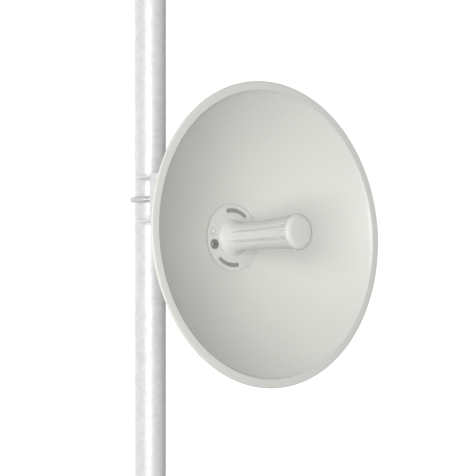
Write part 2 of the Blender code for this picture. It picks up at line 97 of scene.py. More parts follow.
# How the dish hangs from its pivot, along and across its own axis
TILT = radians(3.5)
HUB_AHEAD = 108 * MM
AXIS_DROP = 90 * MM
LOCK_DROP = 40 * MM

# Clamp and fasteners
WEB_Y = -45 * MM
LEG_X = MAST_R + 4.5 * MM
WASHER_R = 8 * MM
HEAD_H = 5.3 * MM

# Fittings on the hub: angles are from the right-hand side, and each has a twin half a turn on
SLOT_FROM = radians(49)
SLOT_TO = radians(101)
SLOT_DEPTH = 3 * MM
SCREW_PITCH = 37.4 * MM
SCREW_ANGLE = radians(194.4)
SCREW_R = 6.9 * MM
SCREW_TOP = 2.5 * MM
BOSS_PITCH = 38.2 * MM
BOSS_ANGLE = radians(164.6)

# Boom and cap
BELL_FALL = 7 * MM
WAIST_H = 50 * MM
CAP_EDGE_R = 9 * MM
CAP_EDGE_H = 5 * MM

# Behind the bowl; heights are from the hub's face
RING_R = half_width("hub_ring")
RING_BORE = 39 * MM
RING_BACK = -14.5 * MM
ARM_INNER = 41.5 * MM
ARM_FOOT = 58 * MM
HOUSING_BACK = -62 * MM
COVER_BACK = -68 * MM
GLAND_H = -40 * MM


def linear(code):
    # An sRGB hex colour as linear values
    parts = [int(code[i:i + 2], 16) / 255 for i in (1, 3, 5)]
    return tuple(c / 12.92 if c <= 0.04045 else ((c + 0.055) / 1.055)**2.4 for c in parts)


def length(name, about, value, low=0.0):
    return FloatProperty(name=name, description=about, default=value, min=low, unit="LENGTH")


def colour(name, about, code):
    return FloatVectorProperty(name=name, description=about, default=linear(code), subtype="COLOR",
                               min=0, max=1)


class DishSizes(bpy.types.PropertyGroup):
    """Sizes of the reflector and its hub"""
    rim_radius: length("Rim radius", "Outside of the rolled rim", RIM_R)
    bowl_radius: length("Bowl radius", "Inside of the flat flange", 0.208)
    lip_height: length("Lip height", "How far the lip stands ahead of the hub's face", 0.0848)
    vertex_depth: length("Vertex depth", "How far the bowl's middle lies behind the hub's face", 0.007)
    sheet: length("Sheet", "Thickness of the pressed sheet", 0.0016)
    edge_height: length("Edge height", "Cut edge of the rolled rim", 0.0820)
    hole_radius: length("Hole radius", "Hole for the feed", 0.024)
    hub_radius: length("Hub radius", "Outside of the hub plate", HUB_R)
    slot_radius: length("Slot radius", "Middle of the twist-lock slots", 0.0403)
    slot_width: length("Slot width", "Width of the twist-lock slots", 0.0060)
    steps: IntProperty(name="Steps", description="Facets round the rim", default=256, min=24)


class FeedSizes(bpy.types.PropertyGroup):
    """Sizes of the boom and its cap"""
    collar_radius: length("Collar radius", "Foot of the boom on the hub", 0.0276)
    waist_radius: length("Waist radius", "Slimmest part of the boom", 0.0196)
    boom_end: length("Boom end", "Height of the boom's far end above the hub", 0.1365)
    boom_end_radius: length("Boom end radius", "Radius under the cap", 0.0250)
    groove_depth: length("Groove depth", "Depth of the grooves beside the side ridges", 0.0050)
    ridge_angle: FloatProperty(name="Ridge", description="Half the angle that a side ridge takes",
                               default=radians(16), subtype="ANGLE")
    cap_radius: length("Cap radius", "Outside of the cap", 0.0257)
    cap_height: length("Cap height", "Front face of the cap above the hub", 0.1440)


class ClampSizes(bpy.types.PropertyGroup):
    """Sizes of the mast, its clamp and the fasteners"""
    mast_radius: length("Mast radius", "Outside of the mast pipe", MAST_R)
    mast_wall: length("Mast wall", "Wall of the mast pipe", 0.0029)
    plate: length("Plate", "Thickness of the bracket's plates", 0.003)
    bolt_radius: length("Bolt radius", "Shank of the M8 bolts", 0.004)
    thread_pitch: length("Thread pitch", "Pitch of the M8 threads", 0.00125)
    nut_flats: length("Nut flats", "Across the flats of an M8 nut", 0.013)


class Colours(bpy.types.PropertyGroup):
    """Colours of the finishes"""
    coat: colour("Powder coat", "Reflector", "#DCDCD7")
    shell: colour("Plastic", "Hub, boom and cap", "#DADBD7")
    zinc: colour("Galvanised steel", "Mast and brackets", "#E2E3E3")
    plated: colour("Plated steel", "Bolts and nuts", "#CFD0D1")
    dark: colour("Phosphated steel", "Hub screws", "#939493")
    black: colour("Black plastic", "Mast plugs and gland", "#1D1E1F")
    cast: colour("Cast aluminium", "Ring behind the dish", "#B4B6B7")
    # The lugs' grey is darker than the hub's plastic: painted shade for the inside of the twist-lock slots
    pocket: colour("Filled nylon", "Lugs inside the twist-lock slots", "#A4A6A2")


def dish():
    return bpy.context.scene.dish_sizes


def feed():
    return bpy.context.scene.feed_sizes


def clamp():
    return bpy.context.scene.clamp_sizes


def shades():
    return bpy.context.scene.dish_colours


# Frames: a piece is modelled round its own Z and then set in place

def dish_frame(height=0.0, x=0.0, up=0.0):
    # +Z looks out of the dish, +Y is up and the origin is on the hub's face
    ahead = Vector((0, -cos(TILT), sin(TILT)))
    above = Vector((0, sin(TILT), cos(TILT)))
    origin = PIVOT + ahead * (HUB_AHEAD + height) + above * (up - AXIS_DROP)
    return frame_of(Vector((1, 0, 0)) * x + origin, Vector((1, 0, 0)), above, ahead)


def frame_of(origin, x_axis, y_axis, z_axis):
    turn = Matrix((x_axis, y_axis, z_axis)).transposed().to_4x4()
    return Matrix.Translation(origin) @ turn


def along_y(x, y, z):
    # +Z looks along -Y
    return frame_of(Vector((x, y, z)), Vector((1, 0, 0)), Vector((0, 0, 1)), Vector((0, -1, 0)))


def along_x(x, y, z, side=1):
    # +Z looks along +X, or -X where side is -1
    return frame_of(Vector((x, y, z)), Vector((0, side, 0)), Vector((0, 0, 1)), Vector((side, 0, 0)))


def tilted(matrix):
    # Turns a piece about the pivot to the dish's resting tilt
    return Matrix.Translation(PIVOT) @ Matrix.Rotation(-TILT, 4, "X") @ Matrix.Translation(-PIVOT) @ matrix


# Modelling by hand

def alone(obj):
    if bpy.context.object and bpy.context.object.mode != "OBJECT":
        bpy.ops.object.mode_set(mode="OBJECT")
    bpy.ops.object.select_all(action="DESELECT")
    obj.select_set(True)
    bpy.context.view_layer.objects.active = obj
    return obj


def edit(obj, kind="VERT"):
    alone(obj)
    bpy.ops.object.mode_set(mode="EDIT")
    bpy.ops.mesh.select_mode(type=kind)
    bpy.ops.mesh.select_all(action="DESELECT")
    return bmesh.from_edit_mesh(obj.data)


def leave(obj):
    bpy.ops.object.mode_set(mode="OBJECT")
    return obj


def start(primitive, name, **settings):
    if bpy.context.object and bpy.context.object.mode != "OBJECT":
        bpy.ops.object.mode_set(mode="OBJECT")
    bpy.ops.object.select_all(action="DESELECT")
    getattr(bpy.ops.mesh, "primitive_" + primitive + "_add")(**settings)
    obj = bpy.context.object
    obj.name = name
    obj.data.name = name
    return obj


def tidy(obj, merge=1e-6):
    edit(obj)
    bpy.ops.mesh.select_all(action="SELECT")
    bpy.ops.mesh.remove_doubles(threshold=merge)
    bpy.ops.mesh.normals_make_consistent(inside=False)
    return leave(obj)


def draw_line(name, points):
    # A plane gathered to one vertex, which is then extruded from point to point
    obj = start("plane", name, size=MM)
    edit(obj)
    bpy.ops.mesh.select_all(action="SELECT")
    bpy.ops.mesh.merge(type="CENTER")
    bpy.ops.transform.translate(value=points[0])
    for here, there in zip(points, points[1:]):
        step = tuple(b - a for a, b in zip(here, there))
        bpy.ops.mesh.extrude_region_move(TRANSFORM_OT_translate={"value": step})
    return obj


def lathe(name, profile, steps=64, ring=False):
    # profile holds (radius, height); a ring's profile is closed, any other runs from axis to axis
    line = [(r, 0, h) for r, h in profile]
    if ring:
        line.append(line[0])
    obj = draw_line(name, line)
    bpy.ops.mesh.select_all(action="SELECT")
    bpy.ops.mesh.spin(steps=steps, angle=2 * pi, use_auto_merge=True, center=(0, 0, 0), axis=(0, 0, 1))
    return tidy(leave(obj))


def slab(name, outline, low, high):
    # A flat outline in X and Y, extruded from height low to height high
    obj = draw_line(name, [(x, y, low) for x, y in [*outline, outline[0]]])
    bpy.ops.mesh.select_all(action="SELECT")
    bpy.ops.mesh.remove_doubles(threshold=1e-6)
    bpy.ops.mesh.select_all(action="SELECT")
    bpy.ops.mesh.edge_face_add()
    bpy.ops.mesh.extrude_region_move(TRANSFORM_OT_translate={"value": (0, 0, high - low)})
    return tidy(leave(obj))


def block(name, low, high):
    obj = start("cube", name, size=1)
    edit(obj)
    bpy.ops.mesh.select_all(action="SELECT")
    bpy.ops.transform.resize(value=tuple(b - a for a, b in zip(low, high)))
    bpy.ops.transform.translate(value=tuple((a + b) / 2 for a, b in zip(low, high)))
    return leave(obj)


def peg(name, radius, low, high, sides=48, x=0.0, y=0.0):
    obj = start("cylinder", name, vertices=sides, radius=radius, depth=high - low)
    return settle(obj, Matrix.Translation((x, y, (low + high) / 2)))


def settle(obj, matrix):
    # The place goes into the mesh
    obj.data.transform(matrix)
    obj.data.update()
    return obj


def apply_modifier(obj, kind, **settings):
    alone(obj)
    mod = obj.modifiers.new(kind.lower(), kind)
    for key, value in settings.items():
        setattr(mod, key, value)
    bpy.ops.object.modifier_apply(modifier=mod.name)
    return obj


def combine(obj, other, operation="DIFFERENCE"):
    apply_modifier(obj, "BOOLEAN", operation=operation, solver="EXACT", object=other)
    bpy.data.objects.remove(other)
    return obj


def soften(obj, width, segments=3, angle=radians(35)):
    return apply_modifier(obj, "BEVEL", width=width, segments=segments, limit_method="ANGLE",
                          angle_limit=angle, harden_normals=False, loop_slide=True)


def smooth(obj, angle=radians(32)):
    alone(obj)
    bpy.ops.object.shade_smooth_by_angle(angle=angle)
    return obj


def copy_of(obj, name):
    made = obj.copy()
    made.data = obj.data.copy()
    made.name = name
    made.data.name = name
    bpy.context.scene.collection.objects.link(made)
    return made


def arc(radius, start_angle, end_angle, steps, middle=(0.0, 0.0)):
    return [(middle[0] + radius * cos(start_angle + (end_angle - start_angle) * i / steps),
             middle[1] + radius * sin(start_angle + (end_angle - start_angle) * i / steps))
            for i in range(steps + 1)]


def round_corners(corners, steps=8):
    # corners are (x, y, radius); each becomes an arc that touches both its sides
    points = []
    for i, (x, y, radius) in enumerate(corners):
        here = Vector((x, y))
        back = (Vector(corners[i - 1][:2]) - here).normalized()
        onward = (Vector(corners[(i + 1) % len(corners)][:2]) - here).normalized()
        if radius == 0:
            points.append((x, y))
            continue
        half = back.angle(onward) / 2
        middle = here + (back + onward).normalized() * (radius / sin(half))
        reach = radius * cos(half) / sin(half)
        first = here + back * reach - middle
        last = here + onward * reach - middle
        sweep = first.angle(last)
        if first.x * last.y - first.y * last.x < 0:
            sweep = -sweep
        from_angle = atan2(first.y, first.x)
        points += arc(radius, from_angle, from_angle + sweep, steps, tuple(middle))
    return points


def curved_slot(pitch, width, from_angle, to_angle, steps=24, ends=8, middle=(0.0, 0.0)):
    half = width / 2
    tip = (middle[0] + pitch * cos(to_angle), middle[1] + pitch * sin(to_angle))
    tail = (middle[0] + pitch * cos(from_angle), middle[1] + pitch * sin(from_angle))
    return (arc(pitch + half, from_angle, to_angle, steps, middle)
            + arc(half, to_angle, to_angle + pi, ends, tip)[1:-1]
            + arc(pitch - half, to_angle, from_angle, steps, middle)
            + arc(half, from_angle + pi, from_angle + 2 * pi, ends, tail)[1:-1])


def dress(obj, material, body, slot, *nodes):
    obj.data.materials.clear()
    obj.data.materials.append(material)
    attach(obj, body)
    if nodes:
        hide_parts(*nodes)
    return obj


# Materials

def add_node(tree, kind, inputs=None, **settings):
    # Adds one node, sets it up, and links or fills its inputs
    made = tree.nodes.new(kind)
    for key, value in settings.items():
        setattr(made, key, value)
    for key, value in (inputs or {}).items():
        if isinstance(value, bpy.types.NodeSocket):
            tree.links.new(value, made.inputs[key])
        else:
            made.inputs[key].default_value = value
    return made


def new_material(name, **sockets):
    found = bpy.data.materials.get(name)
    if found:
        return found, None, None, None
    material = bpy.data.materials.new(name)
    material.use_nodes = True
    tree = material.node_tree
    shader = tree.nodes["Principled BSDF"]
    for key, value in sockets.items():
        shader.inputs[key.replace("_", " ")].default_value = value
    place = add_node(tree, "ShaderNodeTexCoord").outputs["Object"]
    return material, tree, shader, place


def ramp(tree, factor, stops):
    made = add_node(tree, "ShaderNodeValToRGB", {"Fac": factor})
    band = made.color_ramp
    while len(band.elements) < len(stops):
        band.elements.new(0.5)
    for element, (position, value) in zip(band.elements, stops):
        element.position = position
        element.color = value if len(value) == 4 else (*value, 1)
    return made.outputs["Color"]


def dim(rgb, share):
    return tuple(c * share for c in rgb)


def powder_coat():
    # Polyester powder coat on pressed sheet, sprayed and baked: a satin skin with fine orange peel,
    # a touch greyer where dust has settled
    material, tree, shader, place = new_material("polyester_powder_coat", IOR=1.5, Metallic=0.0)
    if tree is None:
        return material
    base = tuple(shades().coat)
    dust = add_node(tree, "ShaderNodeTexNoise", {"Vector": place, "Scale": 9.0, "Detail": 4.0,
                                                 "Roughness": 0.6})
    tone = ramp(tree, dust.outputs["Fac"], [(0.3, dim(base, 0.965)), (0.7, base)])
    tree.links.new(tone, shader.inputs["Base Color"])
    gloss = add_node(tree, "ShaderNodeMapRange", {"Value": dust.outputs["Fac"], "From Min": 0.3,
                                                  "From Max": 0.7, "To Min": 0.46, "To Max": 0.38})
    tree.links.new(gloss.outputs["Result"], shader.inputs["Roughness"])
    # Orange peel has cells of about 1.2 mm
    peel = add_node(tree, "ShaderNodeTexNoise", {"Vector": place, "Scale": 1 / (1.2 * MM), "Detail": 2.0})
    bump = add_node(tree, "ShaderNodeBump", {"Height": peel.outputs["Fac"], "Strength": 0.12,
                                             "Distance": 0.05 * MM})
    tree.links.new(bump.outputs["Normal"], shader.inputs["Normal"])
    return material


def moulded_plastic():
    # Light grey ASA, injection moulded in a spark-eroded tool: matt, with a grain of about 0.4 mm
    material, tree, shader, place = new_material("moulded_asa", IOR=1.49, Metallic=0.0)
    if tree is None:
        return material
    base = tuple(shades().shell)
    cloud = add_node(tree, "ShaderNodeTexNoise", {"Vector": place, "Scale": 25.0, "Detail": 3.0})
    tone = ramp(tree, cloud.outputs["Fac"], [(0.3, dim(base, 0.975)), (0.7, base)])
    tree.links.new(tone, shader.inputs["Base Color"])
    shader.inputs["Roughness"].default_value = 0.5
    grain = add_node(tree, "ShaderNodeTexVoronoi", {"Vector": place, "Scale": 1 / (0.4 * MM)})
    bump = add_node(tree, "ShaderNodeBump", {"Height": grain.outputs["Distance"], "Strength": 0.15,
                                             "Distance": 0.04 * MM})
    tree.links.new(bump.outputs["Normal"], shader.inputs["Normal"])
    return material


def lug_nylon_with_painted_shade():
    # Grey glass-filled nylon of the locking ring: matt, with fibres that show as fine flecks; its grey is set darker
    # than the hub's plastic as painted shade for the inside of the twist-lock slots
    material, tree, shader, place = new_material("glass_filled_nylon", IOR=1.53, Metallic=0.0)
    if tree is None:
        return material
    base = tuple(shades().pocket)
    speck = add_node(tree, "ShaderNodeTexNoise", {"Vector": place, "Scale": 900.0, "Detail": 3.0})
    tone = ramp(tree, speck.outputs["Fac"], [(0.35, dim(base, 0.7)), (0.65, base)])
    tree.links.new(tone, shader.inputs["Base Color"])
    shader.inputs["Roughness"].default_value = 0.6
    return material


def galvanised_steel():
    # Hot-dip galvanised steel: dull zinc with faint spangle of about 7 mm and runs along the pipe
    material, tree, shader, place = new_material("hot_dip_zinc", Metallic=0.35)
    if tree is None:
        return material
    base = tuple(shades().zinc)
    cells = add_node(tree, "ShaderNodeTexVoronoi", {"Vector": place, "Scale": 1 / (7 * MM),
                                                    "Randomness": 1.0})
    tones = add_node(tree, "ShaderNodeSeparateColor", {"Color": cells.outputs["Color"]})
    long_way = add_node(tree, "ShaderNodeMapping", {"Vector": place, "Scale": (1.0, 1.0, 0.18)})
    runs = add_node(tree, "ShaderNodeTexNoise", {"Vector": long_way.outputs["Vector"], "Scale": 90.0,
                                                 "Detail": 5.0, "Roughness": 0.6})
    blend = add_node(tree, "ShaderNodeMix", {"Factor": 0.55, "A": tones.outputs["Red"],
                                             "B": runs.outputs["Fac"]}, data_type="FLOAT")
    mixed = blend.outputs["Result"]
    tone = ramp(tree, mixed, [(0.25, dim(base, 0.9)), (0.75, base)])
    tree.links.new(tone, shader.inputs["Base Color"])
    rough = add_node(tree, "ShaderNodeMapRange", {"Value": mixed, "From Min": 0.2, "From Max": 0.8,
                                                  "To Min": 0.55, "To Max": 0.45})
    tree.links.new(rough.outputs["Result"], shader.inputs["Roughness"])
    bump = add_node(tree, "ShaderNodeBump", {"Height": runs.outputs["Fac"], "Strength": 0.12,
                                             "Distance": 0.12 * MM})
    tree.links.new(bump.outputs["Normal"], shader.inputs["Normal"])
    return material


def plated_steel():
    # Bright zinc-plated steel, cold headed and rolled: smooth with faint handling marks
    material, tree, shader, place = new_material("zinc_plated_steel", Metallic=0.5)
    if tree is None:
        return material
    base = tuple(shades().plated)
    marks = add_node(tree, "ShaderNodeTexNoise", {"Vector": place, "Scale": 260.0, "Detail": 4.0})
    tone = ramp(tree, marks.outputs["Fac"], [(0.3, dim(base, 0.88)), (0.7, base)])
    tree.links.new(tone, shader.inputs["Base Color"])
    rough = add_node(tree, "ShaderNodeMapRange", {"Value": marks.outputs["Fac"], "From Min": 0.3,
                                                  "From Max": 0.7, "To Min": 0.42, "To Max": 0.26})
    tree.links.new(rough.outputs["Result"], shader.inputs["Roughness"])
    return material


def grey_phosphate():
    # Steel screw with a grey phosphate finish, rubbed brighter on its high spots
    material, tree, shader, place = new_material("phosphated_steel", Metallic=0.3)
    if tree is None:
        return material
    base = tuple(shades().dark)
    rub = add_node(tree, "ShaderNodeTexNoise", {"Vector": place, "Scale": 700.0, "Detail": 3.0})
    tone = ramp(tree, rub.outputs["Fac"], [(0.35, dim(base, 0.6)), (0.68, dim(base, 1.25))])
    tree.links.new(tone, shader.inputs["Base Color"])
    shader.inputs["Roughness"].default_value = 0.42
    return material


def black_plastic():
    # Black polyethylene and nylon, moulded and matt, with a fine grain
    material, tree, shader, place = new_material("black_nylon", IOR=1.53, Metallic=0.0)
    if tree is None:
        return material
    base = tuple(shades().black)
    grain = add_node(tree, "ShaderNodeTexNoise", {"Vector": place, "Scale": 1 / (0.6 * MM), "Detail": 2.0})
    tone = ramp(tree, grain.outputs["Fac"], [(0.3, dim(base, 0.8)), (0.7, dim(base, 1.3))])
    tree.links.new(tone, shader.inputs["Base Color"])
    shader.inputs["Roughness"].default_value = 0.5
    bump = add_node(tree, "ShaderNodeBump", {"Height": grain.outputs["Fac"], "Strength": 0.2,
                                             "Distance": 0.05 * MM})
    tree.links.new(bump.outputs["Normal"], shader.inputs["Normal"])
    return material


def cast_aluminium():
    # Pressure die-cast aluminium, left as it came from the die: dull, with soft pitting of 1.5 mm
    material, tree, shader, place = new_material("die_cast_aluminium", Metallic=0.85)
    if tree is None:
        return material
    base = tuple(shades().cast)
    pits = add_node(tree, "ShaderNodeTexNoise", {"Vector": place, "Scale": 1 / (1.5 * MM), "Detail": 4.0})
    tone = ramp(tree, pits.outputs["Fac"], [(0.3, dim(base, 0.8)), (0.65, base)])
    tree.links.new(tone, shader.inputs["Base Color"])
    shader.inputs["Roughness"].default_value = 0.5
    bump = add_node(tree, "ShaderNodeBump", {"Height": pits.outputs["Fac"], "Strength": 0.3,
                                             "Distance": 0.1 * MM})
    tree.links.new(bump.outputs["Normal"], shader.inputs["Normal"])
    return material


# Mast

class MastPipe(bpy.types.Operator):
    """Turns the mast pipe with its cut ends, and the frozen run of zinc on it"""
    bl_idname = "dish.mast_pipe"
    bl_label = "Mast pipe"

    def execute(self, context):
        outer = clamp().mast_radius
        inner = outer - clamp().mast_wall
        cut = 0.5 * MM
        profile = [(outer, MAST_HIGH - cut), (outer, MAST_LOW + cut), (outer - cut, MAST_LOW),
                   (inner + cut, MAST_LOW), (inner, MAST_LOW + cut), (inner, MAST_HIGH - cut),
                   (inner + cut, MAST_HIGH), (outer - cut, MAST_HIGH)]
        pipe = smooth(lathe("mast_pipe", profile, 160, ring=True), radians(40))
        dress(pipe, galvanised_steel(), "mast", "galvanised_steel", "mast_tube")
        self.zinc_run(outer)
        return {"FINISHED"}

    def zinc_run(self, outer):
        # A drop that froze as the pipe came out of the zinc
        height = 0.137
        around = radians(197)
        drop = start("uv_sphere", "mast_zinc_run", segments=24, ring_count=14, radius=1)
        edit(drop)
        bpy.ops.mesh.select_all(action="SELECT")
        bpy.ops.transform.resize(value=(0.7 * MM, 1.6 * MM, 3.2 * MM))
        leave(drop)
        for vert in drop.data.vertices:
            if vert.co.z > 0:
                vert.co.z *= 2.4
                vert.co.y *= 1 - vert.co.z / (11 * MM)
        settle(drop, Matrix.Rotation(around, 4, "Z") @ Matrix.Translation((outer, 0, height)))
        dress(smooth(drop, pi), galvanised_steel(), "mast", "galvanised_steel")


class MastPlugs(bpy.types.Operator):
    """Turns the plugs in the mast's two ends, each with a rounded lip and a moulded ring"""
    bl_idname = "dish.mast_plugs"
    bl_label = "Mast plugs"

    def execute(self, context):
        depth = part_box("mast_foot_plug")[1].z
        stem = MAST_R - clamp().mast_wall - GAP
        lip = MAST_LOW - GAP
        soft = 1 * MM
        edge = MAST_R - soft
        foot = [(0, depth), (stem - soft, depth), (stem, depth - soft), (stem, lip), (MAST_R, lip)]
        foot += arc(soft, 0, -pi / 2, 6, (edge, soft))
        foot += [(14 * MM, 0), (13.4 * MM, 0.4 * MM), (0, 0.4 * MM)]
        plug = smooth(lathe("foot_end_plug", foot, 96))
        dress(plug, black_plastic(), "mast", "black_plastic", "mast_foot_plug")
        top = [(0, MAST_TOP - 0.4 * MM), (13.4 * MM, MAST_TOP - 0.4 * MM), (14 * MM, MAST_TOP)]
        top += arc(soft, pi / 2, 0, 6, (edge, MAST_TOP - soft))
        top += [(MAST_R, MAST_TOP - lip), (stem, MAST_TOP - lip), (stem, MAST_TOP - depth + soft),
                (stem - soft, MAST_TOP - depth), (0, MAST_TOP - depth)]
        plug = smooth(lathe("top_end_plug", top, 96))
        dress(plug, black_plastic(), "mast", "black_plastic", "mast_top_plug")
        return {"FINISHED"}


# Fasteners

def hex_block(name, flats, low, high, ends=("low", "high")):
    # A hexagon whose corners are turned off at 30 degrees at the ends named
    tip = flats / sqrt(3)
    block = slab(name, [(tip * cos(pi / 3 * i), tip * sin(pi / 3 * i)) for i in range(6)], low, high)
    near = flats / 2 * 0.95
    far = tip + 0.3 * MM
    drop = (far - near) * tan(radians(30))
    profile = [(0, high)]
    profile += [(near, high), (far, high - drop)] if "high" in ends else [(far, high)]
    profile += [(far, low + drop), (near, low)] if "low" in ends else [(far, low)]
    profile.append((0, low))
    return combine(block, lathe(name + "_cone", profile, 72), "INTERSECT")


def thread(radius, low, high, pitch):
    # Crests and roots of a rolled thread, from high to low
    points = []
    for i in range(int((high - low) / pitch)):
        at = high - i * pitch
        points += [(radius, at - 0.15 * pitch), (radius, at - 0.3 * pitch), (radius - 0.55 * pitch, at - 0.7 * pitch)]
    return points


def washer(name, radius, bore, low, high):
    soft = 0.2 * MM
    profile = [(bore, high - soft), (bore, low + soft), (bore + soft, low), (radius - soft, low),
               (radius, low + soft), (radius, high - soft), (radius - soft, high), (bore + soft, high)]
    return smooth(lathe(name, profile, 56, ring=True), radians(50))


def nut(name, low, high, turn=0.0):
    body = hex_block(name, clamp().nut_flats, low, high)
    combine(body, peg(name + "_bore", clamp().bolt_radius + 0.1 * MM, low - MM, high + MM))
    settle(body, Matrix.Rotation(turn, 4, "Z"))
    return smooth(soften(body, 0.15 * MM, 2), radians(30))


def span(node, axis):
    low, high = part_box(node)
    return low[axis], high[axis]


class CrossBolts(bpy.types.Operator):
    """Makes the pivot bolt and the lock bolt with their nuts and washers"""
    bl_idname = "dish.cross_bolts"
    bl_label = "Pivot bolt and lock bolt"

    def execute(self, context):
        pivot = along_x(0, PIVOT.y, PIVOT.z)
        lock = tilted(along_x(0, PIVOT.y, PIVOT.z - LOCK_DROP))
        self.one("pivot", pivot, "pole_clamp")
        self.one("lock", lock, "dish")
        return {"FINISHED"}

    def one(self, word, place, body):
        head_end, tip = span(word + "_bolt", 0)
        under_head = head_end + HEAD_H
        radius = clamp().bolt_radius
        bolt = hex_block(word + "_hex_bolt", clamp().nut_flats, head_end, under_head, ("low",))
        # The forged dimple in the middle of the head
        dimple = lathe("dimple", [(0, head_end + 0.5 * MM), (3.2 * MM, head_end - 0.1 * MM), (0, head_end - MM)], 48)
        combine(bolt, dimple)
        rod = lathe("rod", [(0, tip), (radius - 0.8 * MM, tip)]
                    + thread(radius, tip - 26 * MM, tip - 0.6 * MM, clamp().thread_pitch)
                    + [(radius, tip - 27 * MM), (radius, under_head - 0.5 * MM), (0, under_head - 0.5 * MM)], 32)
        combine(bolt, rod, "UNION")
        settle(bolt, place)
        dress(smooth(bolt), plated_steel(), body, "zinc_plated_bolt", word + "_bolt")
        low, high = span(word + "_nut", 0)
        piece = settle(nut(word + "_hex_nut", low, high, radians(11)), place)
        dress(piece, plated_steel(), body, "zinc_plated_bolt", word + "_nut")
        for side in ("left", "right"):
            low, high = span(word + "_washer_" + side, 0)
            piece = washer(word + "_flat_washer_" + side, WASHER_R, radius + GAP, low, high)
            dress(settle(piece, place), plated_steel(), body, "zinc_plated_bolt", word + "_washer_" + side)


# Clamp on the mast

class PoleBracket(bpy.types.Operator):
    """Folds the channel behind the dish, with its two toothed jaws, holes and angle marks"""
    bl_idname = "dish.pole_bracket"
    bl_label = "Pole bracket"

    def execute(self, context):
        sheet = clamp().plate
        half_w = half_width("pole_bracket")
        low, high = span("pole_bracket", 2)
        low -= CLAMP_Z
        high -= CLAMP_Z
        nose = span("pole_bracket", 1)[0]
        web_high = -low
        bend = 5.5 * MM
        outside = [(-half_w, nose, 0), (-half_w, WEB_Y, bend), (half_w, WEB_Y, bend), (half_w, nose, 0)]
        inner = half_w - sheet
        inside = [(inner, nose, 0), (inner, WEB_Y - sheet, bend - sheet), (-inner, WEB_Y - sheet, bend - sheet),
                  (-inner, nose, 0)]
        channel = slab("pole_channel", round_corners(outside + inside), low, high)
        profile = round_corners([(-0.020, low - MM, 0), (nose + 0.0, low - MM, 0), (nose, low, 0),
                                 (nose, high, 18 * MM), (WEB_Y - 12 * MM, high, 10 * MM), (WEB_Y, web_high, 0),
                                 (-0.020, web_high, 0)])
        combine(channel, settle(slab("cheek_shape", profile, -0.06, 0.06), along_x(0, 0, 0)), "INTERSECT")
        corner = slab("nose_corner", self.nose_corner(nose, low), -0.06, 0.06)
        combine(channel, settle(corner, along_x(0, 0, 0)))
        for side in (-1, 1):
            z = side * (web_high - sheet / 2)
            jaw = slab("jaw", self.jaw_outline(half_w), z - sheet / 2, z + sheet / 2)
            combine(channel, jaw, "UNION")
        self.holes(channel)
        soften(channel, 0.4 * MM, 2, radians(40))
        settle(channel, Matrix.Translation((0, 0, CLAMP_Z)))
        dress(smooth(channel), galvanised_steel(), "pole_clamp", "galvanised_steel", "pole_bracket")
        return {"FINISHED"}

    def nose_corner(self, nose, low):
        # What is cut away outside the round lower corner of each cheek
        radius = 12 * MM
        return [(nose - MM, low - MM), (nose + radius, low - MM), *arc(radius, -pi / 2, -pi, 8, (nose + radius, low + radius)),
                (nose - MM, low + radius)]

    def jaw_outline(self, half_w):
        # A V that grips the pipe with saw teeth along both flanks
        slope = radians(50)
        apex = -(MAST_R + 0.5 * MM) / sin(slope)
        mouth = -8 * MM
        back = WEB_Y - clamp().plate / 2
        flank = []
        teeth = 6
        reach = (mouth - apex) / cos(slope)
        for i in range(teeth):
            tip = reach * (0.18 + 0.8 * i / teeth)
            root = reach * (0.18 + 0.8 * (i + 0.5) / teeth)
            flank.append((tip * sin(slope), apex + tip * cos(slope)))
            flank.append((root * sin(slope) + 0.8 * MM * cos(slope), apex + root * cos(slope) - 0.8 * MM * sin(slope)))
        flank.append((reach * sin(slope), mouth))
        right = [(half_w, back), (half_w, mouth - 10 * MM), (half_w - 6 * MM, mouth), *reversed(flank),
                 (6 * MM, apex - 5.5 * MM)]
        return right + [(-x, y) for x, y in reversed(right)]

    def holes(self, channel):
        radius = clamp().bolt_radius + 0.5 * MM
        turn = along_x(0, PIVOT.y, PIVOT.z - CLAMP_Z)
        combine(channel, settle(peg("pivot_hole", radius, -0.06, 0.06), turn))
        down = -pi / 2
        reach = radians(21)
        slot = curved_slot(LOCK_DROP, 2 * radius, down - reach, down + reach)
        combine(channel, settle(slab("tilt_slot", slot, -0.06, 0.06), turn))
        for side in (-1, 1):
            hole = peg("leg_hole", radius, -0.02, 0.02)
            combine(channel, settle(hole, along_y(side * LEG_X, WEB_Y, 0)))
            # Angle marks pressed in beside the slot, one for each 5 degrees
            for i in range(-3, 4):
                mark_turn = down + radians(5 * i)
                long = 4 * MM if i % 3 == 0 else 2.5 * MM
                x = side * half_width("pole_bracket")
                mark = block("mark", (LOCK_DROP + 6 * MM, -0.25 * MM, x - 0.35 * MM),
                             (LOCK_DROP + 6 * MM + long, 0.25 * MM, x + 0.35 * MM))
                settle(mark, turn @ Matrix.Rotation(mark_turn, 4, "Z"))
                combine(channel, mark)


